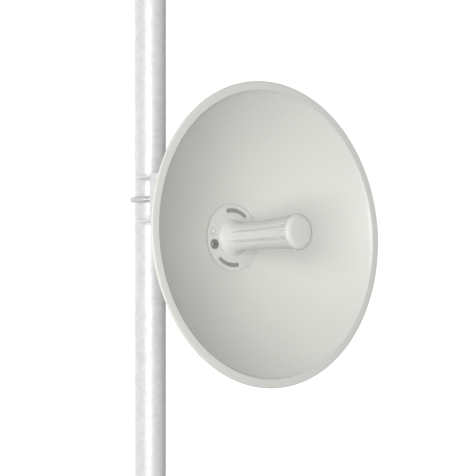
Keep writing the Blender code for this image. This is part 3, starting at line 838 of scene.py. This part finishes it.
class UBolt(bpy.types.Operator):
    """Bends the U-bolt round the mast, threads its legs and adds the nuts and washers"""
    bl_idname = "dish.u_bolt"
    bl_label = "U-bolt"

    def execute(self, context):
        self.rod()
        for side, word in ((-1, "left"), (1, "right")):
            low, high = span("u_bolt_washer_" + word, 1)
            piece = washer("u_bolt_flat_washer_" + word, WASHER_R, clamp().bolt_radius + GAP, -high, -low)
            settle(piece, along_y(side * LEG_X, 0, CLAMP_Z))
            dress(piece, plated_steel(), "pole_clamp", "zinc_plated_bolt", "u_bolt_washer_" + word)
            low, high = span("u_bolt_nut_" + word, 1)
            piece = nut("u_bolt_hex_nut_" + word, -high, -low, radians(17 + 20 * side))
            settle(piece, along_y(side * LEG_X, 0, CLAMP_Z))
            dress(piece, plated_steel(), "pole_clamp", "zinc_plated_bolt", "u_bolt_nut_" + word)
        return {"FINISHED"}

    def rod(self):
        radius = clamp().bolt_radius
        rod = start("circle", "u_bolt_rod", vertices=32, radius=radius, fill_type="NOTHING")
        settle(rod, along_y(LEG_X, 0, 0))
        edit(rod)
        bpy.ops.mesh.select_all(action="SELECT")
        bpy.ops.mesh.spin(steps=40, angle=-pi, center=(0, 0, 0), axis=(0, 0, 1))
        leave(rod)
        if max(v.co.y for v in rod.data.vertices) < radius:
            settle(rod, Matrix.Rotation(pi, 4, "Z"))
        for side in (-1, 1):
            self.leg(rod, side * LEG_X, radius)
        tidy(rod)
        settle(rod, Matrix.Translation((0, 0, CLAMP_Z)))
        dress(smooth(rod, radians(40)), plated_steel(), "pole_clamp", "zinc_plated_bolt", "u_bolt")

    def leg(self, rod, x, radius):
        mesh = edit(rod)
        for vert in mesh.verts:
            vert.select_set(abs(vert.co.y) < 1e-6 and abs(vert.co.x - x) < 1.2 * radius)
        mesh.select_flush(True)
        end = span("u_bolt", 1)[0]
        thread_from = -24 * MM
        pitch = clamp().thread_pitch
        steps = [(radius, thread_from)]
        steps += thread(radius, end + 0.8 * MM, thread_from, pitch)
        steps.append((radius - 0.8 * MM, end))
        y = 0.0
        now = radius
        for wide, there in steps:
            bpy.ops.mesh.extrude_region_move(TRANSFORM_OT_translate={"value": (0, there - y, 0)})
            bpy.ops.transform.resize(value=(wide / now, 1, wide / now), center_override=(x, there, 0))
            y = there
            now = wide
        bpy.ops.mesh.edge_face_add()
        leave(rod)


# Reflector

def bowl(radius):
    sizes = dish()
    return radius * bowl_slope(radius) / 2 - sizes.vertex_depth


def bowl_slope(radius):
    sizes = dish()
    return radius * 2 * (sizes.lip_height + sizes.vertex_depth) / sizes.bowl_radius**2


def sheet_back(radius):
    return bowl(radius) - dish().sheet * sqrt(1 + bowl_slope(radius)**2)


class Reflector(bpy.types.Operator):
    """Spins the pressed bowl with its flat flange and rolled rim"""
    bl_idname = "dish.reflector"
    bl_label = "Reflector"

    def execute(self, context):
        sizes = dish()
        rings = 44
        lip = sizes.bowl_radius - 0.8 * MM
        front = []
        for i in range(rings + 1):
            radius = sizes.hole_radius + (lip - sizes.hole_radius) * i / rings
            front.append((radius, bowl(radius)))
        # Over the lip, across the flange and round the fold to the cut edge
        turn = atan(bowl_slope(lip))
        nose = 1.6 * MM
        top = sizes.lip_height
        middle = (lip + nose * sin(turn), top - nose)
        front += arc(nose, pi / 2 + turn, pi / 2, 8, middle)[1:]
        fold = 2.1 * MM
        corner = (sizes.rim_radius - fold, top - fold)
        front += arc(fold, pi / 2, 0, 8, corner)
        front.append((sizes.rim_radius, sizes.edge_height + 0.3 * MM))
        back = [(sizes.rim_radius - 0.3 * MM, sizes.edge_height),
                (sizes.rim_radius - sizes.sheet, sizes.edge_height + 0.1 * MM)]
        back += arc(fold - sizes.sheet, 0, pi / 2, 5, corner)
        back.append((sizes.bowl_radius + 3 * MM, top - sizes.sheet))
        for i in range(rings + 1):
            radius = sizes.bowl_radius + (sizes.hole_radius - sizes.bowl_radius) * i / rings
            back.append((radius, sheet_back(radius)))
        obj = smooth(lathe("reflector_bowl", front + back, sizes.steps, ring=True), radians(38))
        settle(obj, dish_frame())
        dress(obj, powder_coat(), "dish", "powder_coated_sheet", "reflector")
        return {"FINISHED"}


# Hub

def polar(radius, angle):
    return radius * cos(angle), radius * sin(angle)


class HubPlate(bpy.types.Operator):
    """Turns the hub plate and cuts its twist-lock slots, screw seats and alignment marks"""
    bl_idname = "dish.hub_plate"
    bl_label = "Hub plate"

    def execute(self, context):
        sizes = dish()
        edge = 0.3 * MM
        profile = [(0, 0), (sizes.hub_radius - edge, 0)]
        profile += arc(edge, pi / 2, 0, 4, (sizes.hub_radius - edge, -edge))[1:]
        # Undercut, so that a line of shadow runs round the plate
        seat = sizes.hub_radius - 1.8 * MM
        profile.append((seat, -edge))
        for i in range(7):
            radius = seat * (1 - i / 6)
            profile.append((radius, bowl(radius) + GAP))
        plate = lathe("hub_plate", profile, 144)
        for turn in (0, pi):
            slot = curved_slot(sizes.slot_radius, sizes.slot_width, SLOT_FROM + turn, SLOT_TO + turn)
            combine(plate, slab("slot", slot, -SLOT_DEPTH, MM))
            x, y = polar(SCREW_PITCH, SCREW_ANGLE + turn)
            combine(plate, peg("screw_seat", SCREW_R + 0.7 * MM, -MM, MM, 56, x, y))
            x, y = polar(BOSS_PITCH, BOSS_ANGLE + turn)
            combine(plate, lathe_at("boss_ring", [(3.2 * MM, -0.7 * MM), (4.5 * MM, -0.7 * MM),
                                                  (4.5 * MM, MM), (3.2 * MM, MM)], x, y))
            for high in (1.2 * MM, 3.3 * MM):
                mark = block("mark", (-sizes.hub_radius + 8 * MM, high, -0.35 * MM),
                             (-sizes.hub_radius + 18 * MM, high + 0.8 * MM, MM))
                combine(plate, settle(mark, Matrix.Rotation(turn, 4, "Z")))
        soften(plate, 0.2 * MM, 2, radians(40))
        settle(plate, dish_frame())
        dress(smooth(plate), moulded_plastic(), "dish", "moulded_plastic", "hub_cover")
        return {"FINISHED"}


def lathe_at(name, profile, x, y, steps=48):
    return settle(lathe(name, profile, steps, ring=True), Matrix.Translation((x, y, 0)))


class HubFittings(bpy.types.Operator):
    """Makes the locking lugs, the two large screws and the two bosses on the hub"""
    bl_idname = "dish.hub_fittings"
    bl_label = "Lugs, screws and bosses"

    def execute(self, context):
        lug = settle(self.lug(), dish_frame())
        screw = settle(self.screw(), dish_frame())
        boss = settle(self.boss(), dish_frame())
        half_turn = dish_frame() @ Matrix.Rotation(pi, 4, "Z") @ dish_frame().inverted()
        for first, names, nodes, material, slot in (
                (lug, ("lock_lug_upper", "lock_lug_lower"), ("feed_lug_upper", "feed_lug_lower"),
                 lug_nylon_with_painted_shade(), "moulded_plastic"),
                (screw, ("pan_screw_left", "pan_screw_right"), ("hub_screw_left", "hub_screw_right"),
                 grey_phosphate(), "dark_screw"),
                (boss, ("pin_boss_left", "pin_boss_right"), ("hub_boss_left", "hub_boss_right"),
                 moulded_plastic(), "moulded_plastic")):
            second = settle(copy_of(first, names[1]), half_turn)
            dress(first, material, "dish", slot, nodes[0])
            dress(second, material, "dish", slot, nodes[1])
        return {"FINISHED"}

    def lug(self):
        # A lug of the locking ring, with a ramp down to its far half
        pitch = dish().slot_radius
        wide = dish().slot_width - 1.6 * MM
        middle = (SLOT_FROM + SLOT_TO) / 2
        base = -SLOT_DEPTH + GAP
        lug = slab("lock_lug_upper", curved_slot(pitch, wide, SLOT_FROM + radians(3), SLOT_TO - radians(2)),
                   base, -1.6 * MM)
        high = slab("lug_high", curved_slot(pitch, wide, middle + radians(4), SLOT_TO - radians(2)),
                    base, -0.6 * MM)
        combine(lug, high, "UNION")
        return smooth(soften(lug, 0.25 * MM, 2, radians(40)))

    def screw(self):
        x, y = polar(SCREW_PITCH, SCREW_ANGLE)
        head = lathe("pan_screw_left", pan_head(SCREW_R, SCREW_TOP, -0.7 * MM), 64)
        cross_recess(head, SCREW_R * 0.62, 1.9 * MM, SCREW_TOP, 1.5 * MM)
        settle(smooth(head), Matrix.Translation((x, y, 0)) @ Matrix.Rotation(radians(28), 4, "Z"))
        return head

    def boss(self):
        x, y = polar(BOSS_PITCH, BOSS_ANGLE)
        boss = lathe("pin_boss_left", [(0, 2.2 * MM), (0.8 * MM, 2.15 * MM), (1.6 * MM, 1.9 * MM), (2.2 * MM, 1.5 * MM),
                                       (2.5 * MM, 1.0 * MM), (2.6 * MM, GAP), (0, GAP)], 48)
        return settle(smooth(boss, radians(50)), Matrix.Translation((x, y, 0)))


def pan_head(radius, top, base):
    # Domed on top with a rounded edge and straight sides
    points = [(0, top), (radius * 0.45, top - 0.02 * radius), (radius * 0.72, top - 0.07 * radius),
              (radius * 0.88, top - 0.15 * radius), (radius * 0.97, top - 0.25 * radius), (radius, top - 0.36 * radius)]
    return points + [(radius, base), (0, base)]


def cross_recess(head, reach, wide, top, deep):
    # Two crossed wedges, narrower at the bottom
    for turn in (0, pi / 2):
        cut = block("recess", (-reach, -wide / 2, top - deep), (reach, wide / 2, top + MM))
        for vert in cut.data.vertices:
            if vert.co.z < top:
                vert.co.x *= 0.5
                vert.co.y *= 0.55
        combine(head, settle(cut, Matrix.Rotation(turn, 4, "Z")))
    return head


# Feed

def boom_radius(height):
    # A bell at the hub, a waist, and a slow flare up to the cap
    sizes = feed()
    bell = (sizes.collar_radius - sizes.waist_radius) * exp(-height / BELL_FALL)
    flare = 0.0
    if height > WAIST_H:
        flare = (sizes.boom_end_radius - sizes.waist_radius) * ((height - WAIST_H) / (sizes.boom_end - WAIST_H))**1.6
    return sizes.waist_radius + bell + flare


def ease(share):
    share = min(max(share, 0.0), 1.0)
    return share * share * (3 - 2 * share)


def groove(angle, height):
    # Depth of the groove above and below each side ridge; angle is measured from that ridge's middle
    sizes = feed()
    along = ease((height - 2 * MM) / (20 * MM)) * ease((sizes.boom_end - height) / (14 * MM))
    wide = ease((height - 3 * MM) / (24 * MM))
    ridge = sizes.ridge_angle
    wall = radians(3)
    floor_end = ridge + wall + radians(5) * wide
    lobe = floor_end + radians(4) + radians(5) * wide
    if angle <= ridge:
        return 0.0
    if angle < ridge + wall:
        return sizes.groove_depth * along * ease((angle - ridge) / wall)
    if angle < floor_end:
        return sizes.groove_depth * along
    return sizes.groove_depth * along * (1 - ease((angle - floor_end) / (lobe - floor_end)))


class FeedBoom(bpy.types.Operator):
    """Extrudes the boom ring by ring and shapes its bell, side ridges, grooves and flare"""
    bl_idname = "dish.feed_boom"
    bl_label = "Boom"

    def execute(self, context):
        sizes = feed()
        stations = 70
        boom = start("circle", "feed_boom", vertices=360, radius=sizes.collar_radius, fill_type="NGON")
        settle(boom, Matrix.Translation((0, 0, GAP)))
        edit(boom)
        bpy.ops.mesh.select_all(action="SELECT")
        heights = [GAP + (sizes.boom_end - GAP) * (i / stations)**1.25 for i in range(1, stations + 1)]
        below = GAP
        for height in heights:
            bpy.ops.mesh.extrude_region_move(TRANSFORM_OT_translate={"value": (0, 0, height - below)})
            below = height
        leave(boom)
        for vert in boom.data.vertices:
            height = vert.co.z
            around = atan2(vert.co.y, vert.co.x)
            side = min(abs(around), pi - abs(around))
            radius = boom_radius(height) - groove(side, height)
            vert.co.x = radius * cos(around)
            vert.co.y = radius * sin(around)
        tidy(boom)
        settle(boom, dish_frame())
        dress(smooth(boom, radians(40)), moulded_plastic(), "dish", "moulded_plastic", "feed_body")
        return {"FINISHED"}


class FeedDetails(bpy.types.Operator):
    """Adds the ribs where the ridges meet the cap, and the small pins in the grooves"""
    bl_idname = "dish.feed_details"
    bl_label = "Boom ribs and pins"

    def execute(self, context):
        half_turn = dish_frame() @ Matrix.Rotation(pi, 4, "Z") @ dish_frame().inverted()
        near = feed().boom_end - 9.5 * MM
        far = feed().boom_end
        proud = 3 * MM
        for i, up in enumerate((-3.3 * MM, 0, 3.3 * MM)):
            root = boom_radius(near)
            tip = boom_radius(far)
            rib = block("ridge_rib_%d" % (i + 1), (-tip - 0.3 * MM, up - 1.3 * MM, near), (-root + 2 * MM, up + 1.3 * MM, far))
            # Each rib stands proud at its near end and falls away towards the cap
            for vert in rib.data.vertices:
                if vert.co.z < (near + far) / 2 and vert.co.x < -root:
                    vert.co.x = -root - proud
            rib = settle(smooth(soften(rib, 0.4 * MM, 3)), dish_frame())
            twin = settle(copy_of(rib, "ridge_rib_%d" % (i + 4)), half_turn)
            dress(rib, moulded_plastic(), "dish", "moulded_plastic")
            dress(twin, moulded_plastic(), "dish", "moulded_plastic")
        for i, height in enumerate((18 * MM, 116 * MM)):
            pin = self.pin("boom_pin_%d" % (i + 1), height)
            twin = settle(copy_of(pin, "boom_pin_%d" % (i + 3)), half_turn)
            dress(pin, moulded_plastic(), "dish", "moulded_plastic")
            dress(twin, moulded_plastic(), "dish", "moulded_plastic")
        return {"FINISHED"}

    def pin(self, name, height):
        # Its domed head faces sideways out of the groove below the left ridge
        up = -6.8 * MM
        reach = boom_radius(height) - groove(radians(22), height)
        out = sqrt(reach**2 - up**2) + 2 * MM
        head = lathe(name, pan_head(1.9 * MM, 1.1 * MM, -5 * MM), 32)
        sideways = frame_of(Vector((-out, up, height)), Vector((0, 1, 0)), Vector((0, 0, -1)), Vector((-1, 0, 0)))
        return settle(smooth(head), dish_frame() @ sideways)


class FeedCap(bpy.types.Operator):
    """Turns the cap with its rounded edge and its bare, gently domed face"""
    bl_idname = "dish.feed_cap"
    bl_label = "Cap"

    def execute(self, context):
        sizes = feed()
        rim_h = sizes.cap_height - CAP_EDGE_H
        face_r = sizes.cap_radius - CAP_EDGE_R
        profile = [(0, sizes.cap_height), (face_r * 0.6, sizes.cap_height - 0.1 * MM)]
        for i in range(13):
            turn = pi / 2 * i / 12
            profile.append((face_r + CAP_EDGE_R * sin(turn), rim_h - 0.35 * MM + CAP_EDGE_H * cos(turn)))
        profile += [(sizes.cap_radius, rim_h - 1.2 * MM), (sizes.cap_radius - 0.4 * MM, rim_h - 1.6 * MM),
                    (sizes.boom_end_radius, sizes.boom_end + GAP), (0, sizes.boom_end + GAP)]
        cap = smooth(lathe("feed_end_cap", profile, 144), radians(30))
        settle(cap, dish_frame())
        dress(cap, moulded_plastic(), "dish", "moulded_plastic", "feed_cap")
        return {"FINISHED"}


# Behind the reflector

class HubRing(bpy.types.Operator):
    """Turns the cast ring behind the bowl, with its pockets and stud holes"""
    bl_idname = "dish.hub_ring"
    bl_label = "Cast ring"

    def execute(self, context):
        profile = [(RING_BORE + (RING_R - RING_BORE) * i / 6, 0) for i in range(7)]
        profile = [(r, sheet_back(r) - GAP - 0.1 * MM) for r, h in profile]
        profile += [(RING_R, RING_BACK), (RING_BORE, RING_BACK)]
        ring = lathe("cast_ring", profile, 120, ring=True)
        for x, y in stud_spots():
            combine(ring, peg("stud_hole", 3.4 * MM, RING_BACK - MM, RING_BACK + 5 * MM, 32, x, y))
        # Cored pockets between the studs
        half = radians(48)
        for middle in (pi / 2, -pi / 2):
            pocket = curved_slot((RING_BORE + RING_R) / 2, 17 * MM, middle - half, middle + half)
            combine(ring, slab("pocket", pocket, RING_BACK - MM, RING_BACK + 3 * MM))
        soften(ring, 0.8 * MM, 3, radians(40))
        settle(ring, dish_frame())
        dress(smooth(ring), cast_aluminium(), "dish", "cast_aluminium", "hub_ring")
        return {"FINISHED"}


def stud_spots():
    return [(sx * 51 * MM, sz * 20 * MM) for sx in (-1, 1) for sz in (1, -1)]


class TiltArms(bpy.types.Operator):
    """Folds the two tilt arms and sets their four bolts"""
    bl_idname = "dish.tilt_arms"
    bl_label = "Tilt arms"

    def execute(self, context):
        # Lengths are from the pivot, with the dish level: X across, Y to the back and Z up
        level = tilted(Matrix.Translation(PIVOT))
        for side, word in ((-1, "left"), (1, "right")):
            arm = settle(self.arm("folded_arm_" + word, side), level)
            dress(arm, galvanised_steel(), "dish", "galvanised_steel", "tilt_arm_" + word)
        for i, (x, y) in enumerate(stud_spots()):
            bolt = settle(self.bolt("arm_hex_bolt_%d" % (i + 1), i), dish_frame() @ Matrix.Translation((x, y, 0)))
            dress(bolt, plated_steel(), "dish", "zinc_plated_bolt", "arm_bolt_%d" % (i + 1))
        return {"FINISHED"}

    def arm(self, name, side):
        sheet = clamp().plate
        front = -HUB_AHEAD - RING_BACK + GAP
        half = 30 * MM
        low = -AXIS_DROP - half
        high = -AXIS_DROP + half
        inside = ARM_INNER
        bend = 5 * MM
        angle = [(inside, front + 14 * MM, 0), (inside, front, bend), (ARM_FOOT, front, 0),
                 (ARM_FOOT, front + sheet, 0), (inside + sheet, front + sheet, bend - sheet),
                 (inside + sheet, front + 14 * MM, 0)]
        arm = slab(name, round_corners(angle, 6), low, high)
        corners = [(front + 8 * MM, low + MM, 0), (front + 8 * MM, high - MM, 0), (-22 * MM, 16.5 * MM, 12 * MM),
                   (15.5 * MM, 16.5 * MM, 14 * MM), (15.5 * MM, -LOCK_DROP - 15 * MM, 14 * MM),
                   (-40 * MM, low + MM, 20 * MM)]
        web = slab("web", round_corners(corners), inside, inside + sheet)
        combine(arm, settle(web, along_x(0, 0, 0)), "UNION")
        for drop in (0, LOCK_DROP):
            hole = peg("hole", clamp().bolt_radius + 0.5 * MM, 0, 0.07, 48)
            combine(arm, settle(hole, along_x(0, 0, -drop)))
        for x, y in stud_spots():
            if x > 0:
                hole = peg("foot_hole", 3.4 * MM, -0.02, 0.02, 32)
                combine(arm, settle(hole, along_y(x, front, y - AXIS_DROP)))
        soften(arm, 0.4 * MM, 2, radians(40))
        if side < 0:
            settle(arm, Matrix.Diagonal((-1, 1, 1, 1)))
            tidy(arm)
        return smooth(arm)

    def bolt(self, name, number):
        # Flanged M6 screw whose head faces backwards
        under = RING_BACK - GAP - clamp().plate - GAP
        head = hex_block(name, 10 * MM, under - 4 * MM, under - MM, ("low",))
        settle(head, Matrix.Rotation(radians(13 + 31 * number), 4, "Z"))
        collar = lathe("flange", [(0, under), (6.4 * MM, under), (6.6 * MM, under - 0.5 * MM),
                                  (5 * MM, under - 1.3 * MM), (0, under - 1.3 * MM)], 48)
        combine(head, collar, "UNION")
        rod = lathe("rod", [(0, RING_BACK + 4 * MM), (2.4 * MM, RING_BACK + 4 * MM),
                            (3 * MM, RING_BACK + 3.4 * MM), (3 * MM, under - MM), (0, under - MM)], 32)
        combine(head, rod, "UNION")
        return smooth(head)


class RearHousing(bpy.types.Operator):
    """Turns the radio housing and its cover, with the ribs, the cover screws and the ground screw"""
    bl_idname = "dish.rear_housing"
    bl_label = "Rear housing"

    def execute(self, context):
        front = sheet_back(dish().hole_radius) - GAP - 2.5 * MM
        soft = 3 * MM
        profile = [(0, front), (HOUSING_R - MM, front), (HOUSING_R, front - MM)]
        # Parting line round the shell
        line = HOUSING_BACK + 14 * MM
        profile += [(HOUSING_R, line + 0.5 * MM), (HOUSING_R - 0.6 * MM, line + 0.3 * MM),
                    (HOUSING_R - 0.6 * MM, line - 0.3 * MM), (HOUSING_R, line - 0.5 * MM)]
        profile += arc(soft, 0, -pi / 2, 8, (HOUSING_R - soft, HOUSING_BACK + soft))
        profile.append((0, HOUSING_BACK))
        shell = lathe("radio_housing", profile, 144)
        hole = peg("gland_hole", 8 * MM, -14 * MM, 12 * MM, 48)
        sideways = frame_of(Vector((0, -HOUSING_R, GLAND_H)), Vector((1, 0, 0)), Vector((0, 0, -1)), Vector((0, 1, 0)))
        combine(shell, settle(hole, sideways))
        settle(shell, dish_frame())
        dress(smooth(shell), moulded_plastic(), "dish", "moulded_plastic", "rear_housing")
        self.cover()
        return {"FINISHED"}

    def cover(self):
        top = HOUSING_BACK - GAP
        soft = 2 * MM
        field = 26 * MM
        profile = [(0, top), (COVER_R, top)]
        profile += arc(soft, 0, -pi / 2, 6, (COVER_R - soft, COVER_BACK + soft))
        profile += [(field + MM, COVER_BACK), (field, COVER_BACK + 0.8 * MM), (0, COVER_BACK + 0.8 * MM)]
        cover = lathe("rear_cover", profile, 144)
        for i in range(5):
            up = 16 * MM - 5 * MM * i
            half = sqrt((22 * MM)**2 - up**2)
            rib = block("rib", (-half, up - MM, COVER_BACK + 0.05 * MM), (half, up + MM, COVER_BACK + 2 * MM))
            combine(cover, rib, "UNION")
        for i in range(4):
            x, y = polar(31 * MM, radians(45 + 90 * i))
            combine(cover, peg("screw_well", 3.2 * MM, COVER_BACK - MM, COVER_BACK + 2 * MM, 40, x, y))
            screw = lathe("cover_screw_%d" % (i + 1), [(0, 0), (2.7 * MM, 0), (2.7 * MM, 1 * MM), (2.2 * MM, 1.6 * MM),
                                                     (0, 1.8 * MM)], 40)
            cross_recess(screw, 1.7 * MM, 0.7 * MM, 1.8 * MM, 0.9 * MM)
            backwards = Matrix.Translation((x, y, COVER_BACK + 1.95 * MM)) @ Matrix.Rotation(pi, 4, "X")
            settle(smooth(screw), dish_frame() @ backwards @ Matrix.Rotation(radians(20 * i), 4, "Z"))
            dress(screw, plated_steel(), "dish", "zinc_plated_bolt")
        soften(cover, 0.25 * MM, 2, radians(40))
        settle(cover, dish_frame())
        dress(smooth(cover), moulded_plastic(), "dish", "moulded_plastic", "housing_cover")
        screw = lathe("earth_screw", pan_head(4.5 * MM, 3.3 * MM, GAP), 48)
        cross_recess(screw, 2.8 * MM, 1.1 * MM, 3.3 * MM, 1.4 * MM)
        backwards = Matrix.Translation((20 * MM, -14 * MM, COVER_BACK)) @ Matrix.Rotation(pi, 4, "X")
        settle(smooth(screw), dish_frame() @ backwards)
        dress(screw, plated_steel(), "dish", "zinc_plated_bolt", "ground_screw")


class CableGland(bpy.types.Operator):
    """Makes the gland under the housing: a hexagon, a fluted clamping nut and a rubber seal"""
    bl_idname = "dish.cable_gland"
    bl_label = "Cable gland"

    def execute(self, context):
        bore = 4.5 * MM
        place = tilted(Matrix.Translation(PIVOT + Vector((0, -HUB_AHEAD - GLAND_H, -AXIS_DROP - HOUSING_R))))
        stem = 7.5 * MM
        body = hex_block("gland_body", 19 * MM, -7 * MM, -1.1 * MM)
        neck = lathe("neck", [(0, 8 * MM), (stem, 8 * MM), (stem, -9 * MM), (0, -9 * MM)], 64)
        combine(body, neck, "UNION")
        combine(body, peg("bore", bore + MM, -0.03, 0.03, 48))
        dress(settle(smooth(body), place), black_plastic(), "dish", "black_plastic", "port_gland")
        flutes = 18
        outline = []
        for i in range(flutes * 6):
            outline.append(polar(9.3 * MM + 0.25 * MM * cos(2 * pi * i / 6), 2 * pi * i / (flutes * 6)))
        cap = slab("gland_nut", outline, -26 * MM, -7.4 * MM)
        dome = [(0, -7.4 * MM), (9.5 * MM, -7.4 * MM), (9.7 * MM, -19 * MM), (9.2 * MM, -21.5 * MM),
                (8 * MM, -24 * MM), (6.6 * MM, -25.6 * MM), (6 * MM, -26 * MM), (0, -26 * MM)]
        combine(cap, lathe("dome", dome, 96), "INTERSECT")
        combine(cap, peg("bore", stem + 0.1 * MM, -22 * MM, 0, 48))
        combine(cap, peg("mouth", 5.6 * MM, -0.03, 0, 48))
        dress(settle(smooth(cap), place), black_plastic(), "dish", "black_plastic")
        seal = lathe("gland_seal", [(bore, -9.5 * MM), (5.5 * MM, -9.5 * MM), (5.5 * MM, -25 * MM),
                                    (bore + 0.6 * MM, -25.3 * MM), (bore, -24.6 * MM)], 64, ring=True)
        dress(settle(smooth(seal), place), black_plastic(), "dish", "black_plastic")
        return {"FINISHED"}


# Stage

class Stage(bpy.types.Operator):
    """Sets up the pale floor, the soft studio light and the camera"""
    bl_idname = "dish.stage"
    bl_label = "Stage"

    def execute(self, context):
        scene = context.scene
        self.pale_floor()
        self.light_world(scene)
        self.soft_box("key_light", azimuth=-53, distance=2.6, size=1.5, power=49)
        self.camera(scene)
        scene.view_settings.view_transform = "Standard"
        return {"FINISHED"}

    def pale_floor(self):
        floor = start("plane", "studio_floor", size=60)
        settle(floor, Matrix.Translation((0, 0, CAD_BOX[0][2] - 0.2 * MM)))
        material, tree, shader, place = new_material("pale_floor", Roughness=0.9)
        shader.inputs["Base Color"].default_value = (0.9, 0.9, 0.9, 1)
        shader.inputs["Emission Color"].default_value = (1, 1, 1, 1)
        shader.inputs["Emission Strength"].default_value = 0.75
        floor.data.materials.append(material)
        # The floor is white to the eye and throws no light up into the dish
        floor.visible_diffuse = False
        floor.visible_glossy = False
        floor.visible_shadow = False

    def light_world(self, scene):
        # White behind the object, which is lit most from the dish's front, some from the backdrop
        # and some from its right-hand side
        world = bpy.data.worlds.new("white_studio")
        world.use_nodes = True
        tree = world.node_tree
        tree.nodes.clear()
        seen = add_node(tree, "ShaderNodeBackground", {"Color": (1, 1, 1, 1), "Strength": 1.05})
        way = add_node(tree, "ShaderNodeTexCoord").outputs["Generated"]
        strength = 0.05
        for azimuth, sharpness, weight in ((0, 1.0, 0.62), (160, 2.0, 1.6), (-115, 3.0, 0.9)):
            toward = (sin(radians(azimuth)), -cos(radians(azimuth)), 0)
            facing = add_node(tree, "ShaderNodeVectorMath", {0: way, 1: toward}, operation="DOT_PRODUCT")
            near = add_node(tree, "ShaderNodeMath", {0: facing.outputs["Value"], 1: 0.0}, operation="MAXIMUM")
            lobe = add_node(tree, "ShaderNodeMath", {0: near.outputs[0], 1: sharpness}, operation="POWER")
            strength = add_node(tree, "ShaderNodeMath", {0: lobe.outputs[0], 1: weight, 2: strength},
                                operation="MULTIPLY_ADD").outputs[0]
        lit = add_node(tree, "ShaderNodeBackground", {"Color": (1, 1, 1, 1), "Strength": strength})
        path = add_node(tree, "ShaderNodeLightPath")
        mix = add_node(tree, "ShaderNodeMixShader", {0: path.outputs["Is Camera Ray"],
                                                     1: lit.outputs[0], 2: seen.outputs[0]})
        add_node(tree, "ShaderNodeOutputWorld", {"Surface": mix.outputs[0]})
        scene.world = world

    def soft_box(self, name, azimuth, distance, size, power):
        # Level with the hub; azimuth is measured from the dish's front towards +X
        target = dish_frame().translation
        around = radians(azimuth)
        away = Vector((sin(around), -cos(around), 0))
        data = bpy.data.lights.new(name, "AREA")
        data.size = size
        data.energy = power
        lamp = bpy.data.objects.new(name, data)
        lamp.location = target + away * distance
        lamp.rotation_euler = away.to_track_quat("Z", "Y").to_euler()
        bpy.context.scene.collection.objects.link(lamp)

    def camera(self, scene):
        # Level with the hub, 2.3 m from the rim's middle, turned so that the dish stands right of centre
        rim = dish_frame(0.083).translation
        stand = radians(-42.86)
        distance = 2.3
        data = bpy.data.cameras.new("camera")
        data.sensor_width = 36
        data.lens = 121.45
        eye = bpy.data.objects.new("camera", data)
        eye.location = (rim.x + distance * sin(stand), rim.y - distance * cos(stand),
                        dish_frame().translation.z - 0.5 * MM)
        pan = radians(1.2)
        eye.rotation_euler = (pi / 2, 0, stand + pan)
        scene.collection.objects.link(eye)
        scene.camera = eye


PIECES = (MastPipe, MastPlugs, CrossBolts, PoleBracket, UBolt, Reflector, HubPlate, HubFittings, FeedBoom,
          FeedDetails, FeedCap, HubRing, TiltArms, RearHousing, CableGland, Stage)
GROUPS = (DishSizes, FeedSizes, ClampSizes, Colours)


class DishPanel(bpy.types.Panel):
    """Lists the sizes, the colours and the steps that make the pieces"""
    bl_idname = "DISH_PT_antenna"
    bl_label = "Bridge dish antenna"
    bl_space_type = "VIEW_3D"
    bl_region_type = "UI"
    bl_category = "Dish"

    def draw(self, context):
        for holder in (dish(), feed(), clamp(), shades()):
            box = self.layout.box()
            for name in holder.__annotations__:
                box.prop(holder, name)
        for piece in PIECES:
            self.layout.operator(piece.bl_idname)


def register():
    for kind in (*GROUPS, *PIECES, DishPanel):
        bpy.utils.register_class(kind)
    scene = bpy.types.Scene
    scene.dish_sizes = PointerProperty(type=DishSizes)
    scene.feed_sizes = PointerProperty(type=FeedSizes)
    scene.clamp_sizes = PointerProperty(type=ClampSizes)
    scene.dish_colours = PointerProperty(type=Colours)


def unregister():
    scene = bpy.types.Scene
    del scene.dish_colours
    del scene.clamp_sizes
    del scene.feed_sizes
    del scene.dish_sizes
    for kind in (DishPanel, *reversed(PIECES), *reversed(GROUPS)):
        bpy.utils.unregister_class(kind)


def main():
    register()
    for piece in PIECES:
        group, step = piece.bl_idname.split(".")
        getattr(getattr(bpy.ops, group), step)()


if __name__ == "__main__":
    main()
